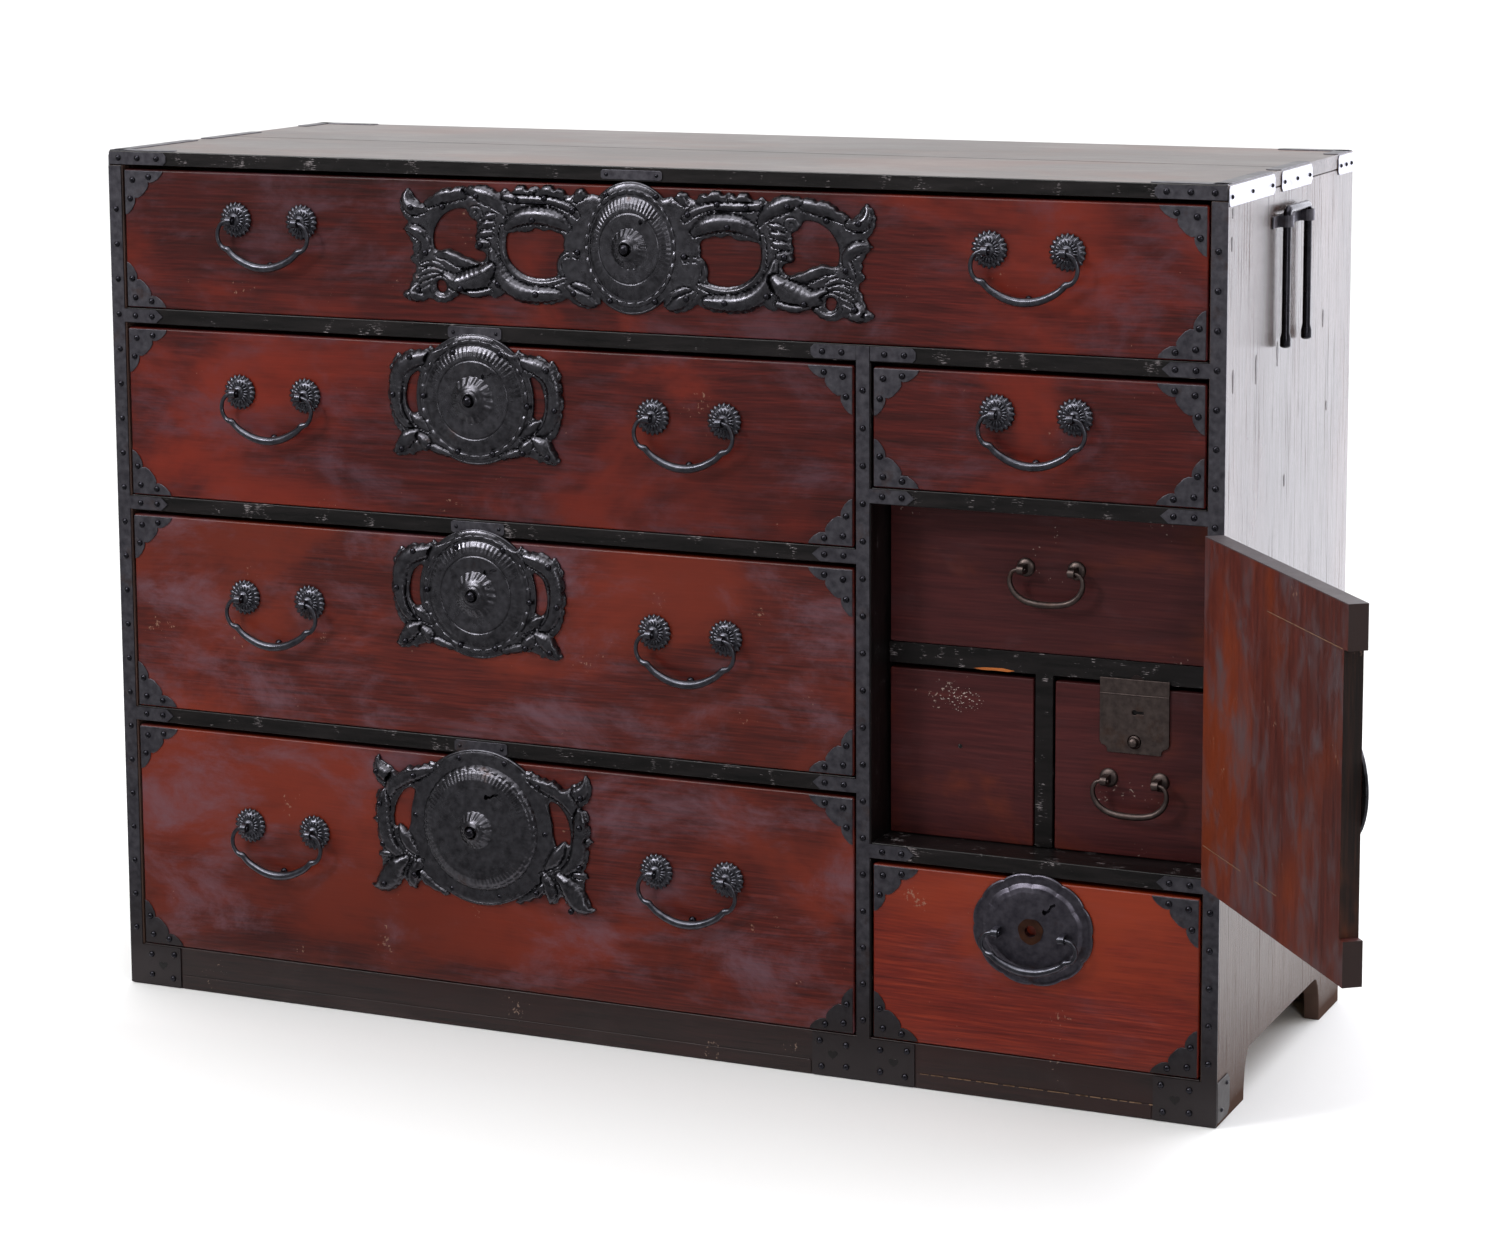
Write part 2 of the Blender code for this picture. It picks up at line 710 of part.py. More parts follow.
def cut_keyhole(plate, name, centre, offset, plane):
    """A round keyhole with a slot for the key's bit, right through the plate."""
    start = asin(keyhole_slot_width / 2 / keyhole_radius)
    turns = [start + (2 * pi - 2 * start) * i / eye_steps for i in range(eye_steps + 1)]
    outline = [(keyhole_radius * cos(a), keyhole_radius * sin(a)) for a in turns]
    outline += [(keyhole_slot, outline[-1][1]), (keyhole_slot, outline[0][1])]
    x, z = centre[0] + offset[0], centre[1] + offset[1]
    along, across = cos(keyhole_tilt), sin(keyhole_tilt)
    turned = [(x + u * along - v * across, z + u * across + v * along) for u, v in outline]
    bm = bmesh.new()
    prism(bm, [turned], on_front(plane), -overrun, overrun + overrun)
    change(plate, f"{name}_keyhole", bm, "DIFFERENCE")


def fit_knob(face, name, centre, plane, proud, parent):
    """A push knob, and the blind bore that it works in."""
    place = on_front(plane)
    bm = bmesh.new()
    bore = [(0, -knob_depth), (knob_bore, -knob_depth), (knob_bore, overrun), (0, overrun)]
    lathe(bm, bore, centre, place, knob_steps)
    change(face, f"{name}_knob_bore", bm, "DIFFERENCE")
    shaft = proud - knob_proud
    profile = [(0, -knob_root), (knob_radius, -knob_root), (knob_radius, shaft)]
    profile += [(knob_radius * u, shaft + knob_proud * v) for u, v in knob_shares]
    bm = bmesh.new()
    lathe(bm, profile, centre, place, knob_steps)
    put(f"{name}_lock_knob", bm, chased_iron, place(*centre, 0), parent, smooth=True)


def lock(face, name, centre, half_width, half_height, radius, stand_off, key, shares, windows,
         disc_shares, stretch=1.0):
    """A winged lock plate with its knob, on a drawer's front."""
    outline = winged_outline(centre, half_width, half_height, radius, stretch, shares)
    openings = wing_windows(centre, half_width, half_height, radius, windows)
    dome = disc_profile(radius, stand_off, stretch, disc_shares)
    bm = bmesh.new()
    relief_plate(bm, outline, openings, dome, centre, on_front(front), knob_bore)
    origin = on_front(front)(*centre, 0)
    plate = put(f"{name}_lock_plate", bm, chased_iron, origin, face.parent, smooth=True)
    cut_keyhole(plate, name, centre, key, front)
    proud = seat_gap + plate_thickness + stand_off + knob_proud
    fit_knob(face, name, centre, front, proud, face.parent)


def add_eyes(bm, centre, half_spacing, plane, root):
    """Two lugs with holes for a bail's ends."""
    axis = plane - eye_stand_off
    turns = [pi / 2 + pi * i / eye_steps for i in range(eye_steps + 1)]
    nose = [(axis + eye_radius * cos(a), centre[1] + eye_radius * sin(a)) for a in turns]
    outline = [(plane + root, centre[1] + eye_radius), *nose]
    outline.append((plane + root, centre[1] - eye_radius))
    bore = circle((axis, centre[1]), eye_bore, eye_steps)
    for side in (-1, 1):
        x = centre[0] + side * half_spacing
        prism(bm, [outline, bore], on_side, x - eye_width / 2, x + eye_width / 2)


def fit_handles(face, name, centres, half_spacing, plane, radius, height):
    """Roses and eyes on a drawer's front, for each of its bails."""
    roses, eyes = bmesh.new(), bmesh.new()
    for centre in centres:
        profile = [(0, -eye_root), (radius, -eye_root)]
        profile += [(radius * u, height * v) for u, v in rose_shares]
        for side in (-1, 1):
            middle = (centre[0] + side * half_spacing, centre[1])
            lathe(roses, profile, middle, on_front(plane), rose_steps)
        add_eyes(eyes, centre, half_spacing, plane, eye_root / 2)
    change(face, f"{name}_roses", roses, "UNION")
    change(face, f"{name}_eyes", eyes, "UNION")


def bail(name, centre, half_spacing, bulge, drop, plane, parent):
    """A cast bail with thin ends in the eyes, shoulders that swell out and a thick middle."""
    inner = half_spacing - eye_width / 2 - bail_tip
    outer = half_spacing + eye_width / 2 + bail_shoulder
    half = [(inner, 0), (outer, 0)]
    half += [((half_spacing + bulge) * u, -drop * v) for u, v in bail_shares]
    path = [*half, *((-u, v) for u, v in half[-2::-1])]
    last = len(half) - 1
    taper = bail_end_radius - bail_middle_radius
    radii = [bail_middle_radius + taper * abs(i - last) / last for i in range(len(path))]
    origin = Vector((centre[0], plane - eye_stand_off, centre[1]))
    points = [origin + Vector((u, 0, v)) for u, v in path]
    bar(name, points, radii, 1, origin, parent)


def drawer_face(name, low_x, high_x, low_z, high_z):
    """A drawer that fills one opening: its front, its box and the empty that it slides with."""
    slide = place_object(f"{name}_slide", None, ((low_x + high_x) / 2, front, low_z), None)
    low_x, high_x = low_x + drawer_side_gap, high_x - drawer_side_gap
    low_z, high_z = low_z + drawer_sit_gap, high_z - drawer_top_gap
    front_back = front + front_thickness
    bm = bmesh.new()
    block(bm, (low_x, front, low_z), (high_x, front_back, high_z))
    face = put(f"{name}_front", bm, front_lacquer, slide.location, slide)
    bm = bmesh.new()
    box_high = (high_x, boards_back - drawer_back_space, high_z - drawer_rim_step)
    tray(bm, (low_x, front_back + seat_gap, low_z), box_high, drawer_back_wall)
    put(f"{name}_box", bm, plain_wood, slide.location, slide)
    return face


def wide_drawer(name, low_x, high_x, low_z, high_z, eye_share):
    """A drawer with two bails, each at the same distance from its end."""
    face = drawer_face(f"{name}_drawer", low_x, high_x, low_z, high_z)
    z = low_z + eye_share * (high_z - low_z)
    centres = [(low_x + bail_inset, z), (high_x - bail_inset, z)]
    fit_handles(face, name, centres, eye_half_spacing, front, rose_radius, rose_height)
    for side, centre in zip(("left", "right"), centres):
        bail_name = f"{name}_bail_{side}"
        bail(bail_name, centre, eye_half_spacing, bail_bulge, bail_drop, front, face.parent)
    return face


def wide_drawers():
    """The top drawer and the three below it on the left, each with its lock."""
    face = wide_drawer("top", inner_left, inner_right, top_floor, boards_top, top_eye_share)
    rise = top_lock_share * (boards_top - top_floor)
    centre = ((inner_left + inner_right) / 2, top_floor + rise)
    lock(face, "top", centre, top_plate_half_width, top_plate_half_height, top_disc_radius,
         top_lock_stand_off, top_key, top_wing_shares, top_window_shares, coiled_disc_shares,
         top_disc_height_share)
    middle = (inner_left + partition_left) / 2
    rows = (
        ("second", second_floor, upper_shelf, second_eye_share, second_lock_share),
        ("third", third_floor, left_upper_shelf, third_eye_share, third_lock_share),
    )
    for name, low_z, high_z, eye_share, lock_share in rows:
        face = wide_drawer(name, inner_left, partition_left, low_z, high_z, eye_share)
        centre = (middle, low_z + lock_share * (high_z - low_z))
        lock(face, name, centre, round_plate_half_width,
             round_plate_half_height, round_disc_radius, round_lock_stand_off, round_key,
             round_wing_shares, round_window_shares, coiled_disc_shares)
    face = wide_drawer("bottom", inner_left, partition_left, plinth_height, left_lower_shelf,
                       bottom_eye_share)
    rise = bottom_lock_share * (left_lower_shelf - plinth_height)
    lock(face, "bottom", (middle, plinth_height + rise), bottom_plate_half_width,
         bottom_plate_half_height, bottom_disc_radius, bottom_lock_stand_off, bottom_key,
         round_wing_shares, round_window_shares, domed_disc_shares)


def small_drawer():
    """The small drawer above the door, which has one bail and no lock."""
    face = drawer_face("small_drawer", partition_right, inner_right, small_floor, upper_shelf)
    rise = small_eye_share * (upper_shelf - small_floor)
    centre = ((partition_right + inner_right) / 2, small_floor + rise)
    fit_handles(face, "small", [centre], eye_half_spacing, front, rose_radius, rose_height)
    bail("small_bail", centre, eye_half_spacing, bail_bulge, bail_drop, front, face.parent)


def lower_right_drawer():
    """The drawer below the door, whose bail hangs on its lock plate."""
    face = drawer_face("lower_right_drawer", partition_right, inner_right, plinth_height,
                       right_lower_shelf)
    middle = (partition_right + inner_right) / 2
    row = right_lower_shelf - plinth_height
    centre = (middle, plinth_height + lower_right_lock_share * row)
    stretch = lower_right_plate_half_height / lower_right_plate_half_width
    count = scallop_count * scallop_steps
    outline = []
    for i in range(count):
        a = 2 * pi * i / count
        swell = lower_right_plate_half_width * (1 + scallop_share * (cos(scallop_count * a) - 1))
        outline.append((centre[0] + swell * cos(a), centre[1] + swell * stretch * sin(a)))
    dome = disc_profile(lower_right_plate_half_width, lower_right_lock_stand_off, stretch,
                        low_disc_shares)
    bm = bmesh.new()
    relief_plate(bm, outline, [], dome, centre, on_front(front), lower_right_lost_knob)
    origin = on_front(front)(*centre, 0)
    plate = put("lower_right_lock_plate", bm, chased_iron, origin, face.parent, smooth=True)
    eyes = bmesh.new()
    eye_centre = (middle, plinth_height + lower_right_eye_share * row)
    add_eyes(eyes, eye_centre, lower_right_half_spacing, front, -seat_gap - plate_thickness / 2)
    change(plate, "lower_right_eyes", eyes, "UNION")
    cut_keyhole(plate, "lower_right", centre, lower_right_key, front)
    bail("lower_right_bail", eye_centre, lower_right_half_spacing, bail_bulge,
         lower_right_bail_drop, front, face.parent)


def inner_drawer(name, low_x, high_x, low_z, high_z):
    """A drawer of the compartment, made in one piece."""
    slide = place_object(f"{name}_slide", None, ((low_x + high_x) / 2, inner_plane, low_z), None)
    low = (low_x + drawer_side_gap, inner_plane, low_z + drawer_sit_gap)
    back_y = boards_back - drawer_back_space
    high = (high_x - drawer_side_gap, back_y, high_z - drawer_top_gap)
    bm = bmesh.new()
    tray(bm, low, high, inner_front_thickness)
    return put(name, bm, inner_lacquer, slide.location, slide)


def inner_drawers():
    """One wide inner drawer above, and a plain and a locked one side by side below."""
    drawer = inner_drawer("inner_upper_drawer", partition_right, inner_right,
                          inner_upper_floor, right_upper_shelf)
    rise = inner_upper_eye_share * (right_upper_shelf - inner_upper_floor)
    centre = ((partition_right + inner_right) / 2, inner_upper_floor + rise)
    inner_handle(drawer, "inner_upper", centre)
    inner_drawer("inner_left_drawer", partition_right, inner_partition, compartment_floor,
                 inner_shelf)
    drawer = inner_drawer("inner_right_drawer", inner_right_wall, inner_right,
                          compartment_floor, inner_shelf)
    middle = (inner_right_wall + inner_right) / 2
    rise = inner_right_eye_share * (inner_shelf - compartment_floor)
    inner_handle(drawer, "inner_right", (middle, compartment_floor + rise))
    inner_lock(drawer, middle)


def inner_handle(drawer, name, centre):
    """A small bail on an inner drawer."""
    fit_handles(drawer, name, [centre], inner_half_spacing, inner_plane, inner_rose_radius,
                inner_rose_height)
    bail(f"{name}_bail", centre, inner_half_spacing, inner_bail_bulge, inner_bail_drop,
         inner_plane, drawer.parent)


def inner_lock(drawer, middle):
    """A plain plate with clipped corners that stands above the drawer's edge, and its knob."""
    top = inner_shelf - drawer_top_gap + inner_plate_lip
    low = top - inner_plate_height
    side = inner_plate_half_width
    clip = inner_plate_clip
    outline = [(-side + clip, low), (side - clip, low), (side, low + clip), (side, top),
               (-side, top), (-side, low + clip)]
    outline = [(middle + u, v) for u, v in outline]
    knob = (middle, low + inner_knob_rise)
    bm = bmesh.new()
    prism(bm, [outline, circle(knob, knob_bore, disc_steps)], on_front(inner_plane), seat_gap,
          seat_gap + plate_thickness)
    origin = on_front(inner_plane)(*knob, 0)
    plate = put("inner_lock_plate", bm, forged_iron, origin, drawer.parent)
    cut_keyhole(plate, "inner", (middle, low), (0, inner_key_rise), inner_plane)
    proud = seat_gap + plate_thickness + inner_knob_proud
    fit_knob(drawer, "inner", knob, inner_plane, proud, drawer.parent)


def carry_handle(name, side):
    """A carrying handle that slides up out of its strap, drawn for one side of the chest."""
    face = side * case_width / 2
    axis_x = face + side * carry_stand_off
    middle = front + carry_middle
    turns = [pi / 2 * i / carry_corner_steps for i in range(carry_corner_steps + 1)]
    shoulder = carry_half_spacing - carry_corner
    bend = [(shoulder + carry_corner * cos(a), carry_top + carry_corner * (sin(a) - 1))
            for a in turns]
    swell = carry_foot + carry_foot_length
    half = [(carry_half_spacing, carry_foot), (carry_half_spacing, swell),
            (carry_half_spacing, swell + carry_foot_radius), *bend]
    path = [*half, *((-u, v) for u, v in reversed(half))]
    leg_radii = [carry_bar_radius] * (len(half) - 2)
    radii = [carry_foot_radius, carry_foot_radius, *leg_radii]
    points = [Vector((axis_x, middle + u, v)) for u, v in path]
    origin = (axis_x, middle, carry_top)
    bar(f"{name}_carry_handle", points, [*radii, *reversed(radii)], 2, origin)
    inner_radius = carry_bar_radius + carry_strap_clearance
    outer_radius = inner_radius + carry_strap_thickness
    skin = seat_gap + carry_strap_thickness
    inside = loop_over_legs(inner_radius, seat_gap)
    outside = loop_over_legs(outer_radius, skin)
    end = carry_half_spacing + outer_radius + carry_strap_tab
    outline = [(-end, seat_gap), *inside, (end, seat_gap), (end, skin), *reversed(outside),
               (-end, skin)]
    strap_top = carry_top - carry_bar_radius - carry_rest_gap
    bm = bmesh.new()
    prism(bm, [[(face + side * v, middle + u) for u, v in outline]], in_plan,
          strap_top - carry_strap_height, strap_top)
    put(f"{name}_handle_strap", bm, forged_iron)


def loop_over_legs(radius, base):
    """One edge of the strap, which lies flat on the side and arches over both legs."""
    points = []
    turns = [pi - pi * i / carry_strap_steps for i in range(carry_strap_steps + 1)]
    for leg in (-carry_half_spacing, carry_half_spacing):
        points.append((leg - radius, base))
        points += [(leg + radius * cos(a), carry_stand_off + radius * sin(a)) for a in turns]
        points.append((leg + radius, base))
    return points


carcass()
inner_divider()
frame_irons()
door()
wide_drawers()
small_drawer()
lower_right_drawer()
inner_drawers()
carry_handle("left", -1)
carry_handle("right", 1)
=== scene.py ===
# %% [markdown]
# # A lacquered clothes chest
#
# The chest is a low Japanese tansu: boards of elm and cedar under coloured lacquer, bound with
# forged straps, and locked by chased iron plates. Its solids come packed and fixed, so this script
# adds only what the eye looks for: the finishes, the chased ornament, nails, roses and bails.

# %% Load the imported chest
import json
from math import cos, pi, radians, sin

import bmesh
import bpy
import numpy as np
from mathutils import Matrix, Vector

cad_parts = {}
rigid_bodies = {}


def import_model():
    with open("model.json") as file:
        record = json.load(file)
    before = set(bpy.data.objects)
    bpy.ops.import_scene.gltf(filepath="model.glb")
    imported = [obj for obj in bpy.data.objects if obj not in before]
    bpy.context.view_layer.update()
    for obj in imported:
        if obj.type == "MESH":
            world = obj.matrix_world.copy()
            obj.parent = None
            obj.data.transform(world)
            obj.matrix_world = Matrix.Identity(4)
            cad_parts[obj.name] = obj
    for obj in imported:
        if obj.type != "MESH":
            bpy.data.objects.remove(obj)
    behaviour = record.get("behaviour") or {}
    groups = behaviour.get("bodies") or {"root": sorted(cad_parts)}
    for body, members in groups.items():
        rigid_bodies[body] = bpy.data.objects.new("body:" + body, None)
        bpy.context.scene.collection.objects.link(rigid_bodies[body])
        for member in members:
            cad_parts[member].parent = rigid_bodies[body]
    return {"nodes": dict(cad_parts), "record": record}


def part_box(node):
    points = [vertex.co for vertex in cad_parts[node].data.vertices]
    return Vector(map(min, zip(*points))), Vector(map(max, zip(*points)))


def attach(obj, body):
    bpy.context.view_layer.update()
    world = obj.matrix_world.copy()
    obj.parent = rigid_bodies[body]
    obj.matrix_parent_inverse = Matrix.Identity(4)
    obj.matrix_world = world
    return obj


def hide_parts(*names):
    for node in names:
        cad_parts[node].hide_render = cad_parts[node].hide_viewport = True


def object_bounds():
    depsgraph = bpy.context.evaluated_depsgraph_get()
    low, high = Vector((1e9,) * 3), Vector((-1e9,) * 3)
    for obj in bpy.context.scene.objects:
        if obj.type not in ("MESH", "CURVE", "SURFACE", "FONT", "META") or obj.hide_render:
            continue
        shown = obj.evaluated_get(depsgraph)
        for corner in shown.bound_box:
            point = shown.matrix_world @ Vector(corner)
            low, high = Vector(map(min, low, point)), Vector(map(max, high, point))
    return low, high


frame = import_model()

cad_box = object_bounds()
MM = 0.001
SEAT = 0.0003
IRON = 0.0012
joints = frame["record"]["behaviour"]["joints"]
pivots = {joint["child"]: Vector(joint["pos_m"]) for joint in joints if "pos_m" in joint}
parents = {joint["child"]: joint["parent"] for joint in joints}
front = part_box("upper_shelf")[0].y
inner_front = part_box("inner_left_drawer")[0].y

# %% [markdown]
# ## Helpers
#
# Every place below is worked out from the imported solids, in metres. A drawing of the front has u
# to the right, v up and w out towards the viewer, and a small function puts it on its plane.
# Finished pieces keep their objects at the origin, with their place in their mesh. Sheet iron is
# 1.2 mm thick, and each fitting stands 0.3 mm off the wood, the gap that the solids leave too.

# %% Put drawings on the chest


def on_front(centre, plane):
    """Maps u, v, w about a point of a front plane to the chest."""
    return lambda u, v, w: Vector((centre[0] + u, plane - w, centre[1] + v))


def on_side(side):
    """Maps depth, height and outward distance on the left (-1) or right (1) side."""
    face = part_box("right_side_board")[1].x * side
    return lambda u, v, w: Vector((face + side * w, u, v))


def on_top(u, v, w):
    """Maps width, depth and height above the top."""
    return Vector((u, v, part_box("top_board")[1].z + w))


def keep(obj, material, body, *nodes, smooth=True):
    """Gives a finished piece its material and body, and hides the solids that it stands for."""
    obj.data.materials.clear()
    obj.data.materials.append(material)
    if smooth:
        obj.data.shade_smooth()
        obj.data.set_sharp_from_angle(angle=radians(38))
    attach(obj, body)
    if nodes:
        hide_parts(*nodes)
    return obj


def placed(name, data):
    """Makes an object of a mesh, curve, light or camera, and puts it in the scene."""
    obj = bpy.data.objects.new(name, data)
    bpy.context.scene.collection.objects.link(obj)
    return obj


def plain_mesh(maker):
    """The mesh that an object's curve or modifiers make. The object itself goes."""
    bpy.context.view_layer.update()
    mesh = bpy.data.meshes.new_from_object(maker.evaluated_get(
        bpy.context.evaluated_depsgraph_get()))
    bpy.data.objects.remove(maker)
    return mesh


def as_drawn(name, bm):
    """Makes an object of a bmesh as it is."""
    mesh = bpy.data.meshes.new(name)
    bm.to_mesh(mesh)
    bm.free()
    return placed(name, mesh)


def from_bmesh(name, bm):
    """Closes up a bmesh, turns its faces outwards and makes an object of it."""
    bmesh.ops.remove_doubles(bm, verts=bm.verts, dist=1e-6)
    bmesh.ops.recalc_face_normals(bm, faces=bm.faces)
    return as_drawn(name, bm)


def prism(bm, outlines, place, low, high):
    """A plate between two heights. The first outline is its edge and the rest are openings."""
    for w in (low, high):
        edges = []
        for points in outlines:
            verts = [bm.verts.new(place(u, v, w)) for u, v in points]
            edges += [bm.edges.new(pair) for pair in zip(verts, verts[1:] + verts[:1])]
        bmesh.ops.triangle_fill(bm, edges=edges, use_beauty=True)
    for points in outlines:
        for (a, b), (c, d) in zip(points, points[1:] + points[:1]):
            bm.faces.new([bm.verts.new(place(*p)) for p in
                          ((a, b, low), (c, d, low), (c, d, high), (a, b, high))])


def cut_out(name, shapes, place, low, high):
    """One object of plates between the same two heights, each an outline and its openings."""
    bm = bmesh.new()
    for outlines in shapes:
        prism(bm, outlines, place, low, high)
    return from_bmesh(name, bm)


def circle(radius, steps, u=0.0, v=0.0):
    """The points of a circle about u, v."""
    turns = [2 * pi * i / steps for i in range(steps)]
    return [(u + radius * cos(a), v + radius * sin(a)) for a in turns]


def box(bm, low, high):
    """A plain block between two corners."""
    low, high = Vector(low), Vector(high)
    scale = Matrix.Diagonal((*(high - low), 1))
    bmesh.ops.create_cube(bm, size=1, matrix=Matrix.Translation((low + high) / 2) @ scale)


def soften(obj, width, segments=2, angle=32):
    """Rounds the sharp edges of a piece, as hands and planes do."""
    bevel = obj.modifiers.new("soft edges", "BEVEL")
    bevel.width = width
    bevel.segments = segments
    bevel.limit_method = "ANGLE"
    bevel.angle_limit = radians(angle)
    bevel.harden_normals = True
    return obj


print("helpers ready, left side at", round(on_side(-1)(0, 0, 0).x, 3))

# %% [markdown]
# ## Colours and nodes
#
# A colour is typed as an sRGB hex value, as a paint chart gives it, and one function turns it
# into the linear light that the shaders work in. One more function adds any node, with its
# settings, its values and its links, so that each finish below reads like a recipe.

# %% Colours and nodes


def hex_colour(code):
    """Turns #rrggbb into linear red, green, blue and an alpha of 1."""
    values = [int(code[i:i + 2], 16) / 255 for i in (1, 3, 5)]
    return (*[c / 12.92 if c < 0.04045 else ((c + 0.055) / 1.055) ** 2.4 for c in values], 1.0)


def add(tree, kind, inputs=(), stops=(), **settings):
    """Adds a node, by default one of the shader's. An input is a value, a socket or a node."""
    node = tree.nodes.new(kind if "Node" in kind else f"ShaderNode{kind}")
    for key, value in settings.items():
        setattr(node, key, value)
    for key, value in dict(inputs).items():
        value = value.outputs[0] if isinstance(value, bpy.types.Node) else value
        if isinstance(value, bpy.types.NodeSocket):
            tree.links.new(value, node.inputs[key])
        else:
            node.inputs[key].default_value = value
    for index, (position, colour) in enumerate(stops):
        ramp = node.color_ramp.elements
        stop = ramp[index] if index < 2 else ramp.new(position)
        stop.position = position
        stop.color = colour if len(colour) == 4 else (*colour, 1)
    return node


def finish(name, roughness, metallic=0.0, specular=0.5):
    """Starts a material, and returns it with its tree, its shader and its object coordinates."""
    material = bpy.data.materials.new(name)
    material.use_nodes = True
    tree = material.node_tree
    shader = tree.nodes["Principled BSDF"]
    shader.inputs["Roughness"].default_value = roughness
    shader.inputs["Metallic"].default_value = metallic
    shader.inputs["Specular IOR Level"].default_value = specular
    place = add(tree, "TexCoord").outputs["Object"]
    return material, tree, shader, place


print("deep red", [round(c, 3) for c in hex_colour("#6a2018")[:3]])

# %% [markdown]
# ## Lacquered wood
#
# Transparent lacquer over planed elm lets the grain show: dark pores a fraction of a millimetre
# wide and centimetres long, growth rings a few millimetres apart that wander into arches, and
# broad patches where the colour is redder or browner. Noise stretched along the board gives the
# pores, a sine of the height, bent by slow noise, gives the rings, and both also tilt the surface
# a little. Pores finer than a pixel are drawn about 1 mm apart so that they show.

# %% Wood under lacquer


def lacquered_wood(name, along, colours, rings=4.2, haze=0.25, roughness=0.36, specular=0.3,
                   scratch="#8a6a58", scratched=0.35, bump=0.2, contrast=0.8, blotch=12.0,
                   uneven=0.20, seed=0.0):
    """A board with its grain along X, Y or Z, in dark, middle, light, patch and haze colours.

    Rings are in millimetres. A higher contrast value spreads the colours over more of the noise,
    so that the grain is calmer. Blotch is the number of polished patches in about a metre.
    """
    material, tree, shader, place = finish(name, roughness, specular=specular)
    dark, middle, light, tint, milky = [hex_colour(code) for code in colours]
    stretch, slow = [1.0, 1.0, 1.0], [1.0, 1.0, 1.0]
    stretch["XYZ".index(along)] = 0.035
    slow["XYZ".index(along)] = 0.5
    shift = (seed, seed * 0.7, seed * 1.3)
    grain = add(tree, "Mapping", {"Vector": place, "Scale": stretch, "Location": shift})
    wander = add(tree, "Mapping", {"Vector": place, "Scale": slow, "Location": shift})
    drift = add(tree, "TexNoise", {"Vector": wander, "Scale": 3.2, "Detail": 2.5, "Roughness": 0.5})
    split = add(tree, "SeparateXYZ", {0: place})
    across = split.outputs["X" if along == "Z" else "Z"]
    deep = add(tree, "Math", {0: across, 1: split.outputs["Y"]}, operation="ADD")
    bent = add(tree, "Math", {0: drift, 1: 0.16, 2: deep}, operation="MULTIPLY_ADD")
    phase = add(tree, "Math", {0: bent, 1: 2 * pi / (rings * MM)}, operation="MULTIPLY")
    wave = add(tree, "Math", {0: phase}, operation="SINE")
    pores = add(tree, "TexNoise", {"Vector": grain, "Scale": 700.0, "Detail": 4.0,
                                   "Roughness": 0.6})
    streak = add(tree, "TexNoise", {"Vector": grain, "Scale": 230.0, "Detail": 5.0,
                                    "Roughness": 0.6})
    some = add(tree, "Math", {0: wave, 1: 0.04, 2: streak}, operation="MULTIPLY_ADD")
    fine = add(tree, "Math", {0: pores, 1: 0.8, 2: some}, operation="MULTIPLY_ADD")
    level = add(tree, "MapRange", {0: fine, 1: 0.90 - contrast * 0.4,
                                   2: 0.90 + contrast * 0.4, 3: 0.0, 4: 1.0})
    base = add(tree, "ValToRGB", {0: level}, stops=[(0.0, dark), (1.0, light), (0.5, middle)])
    clouds = add(tree, "TexNoise", {"Vector": wander, "Scale": 6.5, "Detail": 5.0,
                                    "Roughness": 0.62, "Distortion": 0.4})
    cloud = add(tree, "MapRange", {0: clouds, 1: 0.46, 2: 0.66, 3: 0.0,
                                   4: 0.85}, interpolation_type="SMOOTHSTEP")
    tinted = add(tree, "Mix", {0: cloud, 6: base, 7: tint}, data_type="RGBA", blend_type="MIX")
    shade = add(tree, "MapRange", {0: drift, 1: 0.3, 2: 0.7, 3: 0.62, 4: 1.3})
    shaded = add(tree, "VectorMath", {0: tinted.outputs[2], "Scale": shade}, operation="SCALE")
    polish = add(tree, "TexNoise", {"Vector": wander, "Scale": blotch, "Detail": 6.0,
                                    "Roughness": 0.68, "Distortion": 0.3})
    hazy = add(tree, "MapRange", {0: polish, 1: 0.55 - haze * 0.12, 2: 0.74,
                                  3: 0.0, 4: haze}, interpolation_type="SMOOTHSTEP")
    dulled = add(tree, "Mix", {0: hazy, 6: shaded, 7: milky}, data_type="RGBA")
    marks = add(tree, "TexNoise", {"Vector": place, "Scale": 240.0, "Detail": 3.0,
                                   "Roughness": 0.6})
    zones = add(tree, "TexNoise", {"Vector": place, "Scale": 19.0, "Detail": 2.0})
    chipped = add(tree, "Math", {0: marks, 1: zones}, operation="MULTIPLY")
    worn = add(tree, "MapRange", {0: chipped, 1: 0.475 - scratched * 0.06,
                                  2: 0.50 - scratched * 0.05, 3: 0.0, 4: 0.6})
    colour = add(tree, "Mix", {0: worn, 6: dulled.outputs[2],
                               7: hex_colour(scratch)}, data_type="RGBA")
    rough = add(tree, "MapRange", {0: polish, 1: 0.3, 2: 0.75, 3: roughness - uneven * 0.4,
                                   4: roughness + uneven * 0.6})
    relief = add(tree, "Bump", {"Height": fine, "Strength": bump, "Distance": 0.0006})
    tree.links.new(colour.outputs[2], shader.inputs["Base Color"])
    tree.links.new(rough.outputs[0], shader.inputs["Roughness"])
    tree.links.new(relief.outputs[0], shader.inputs["Normal"])
    return material


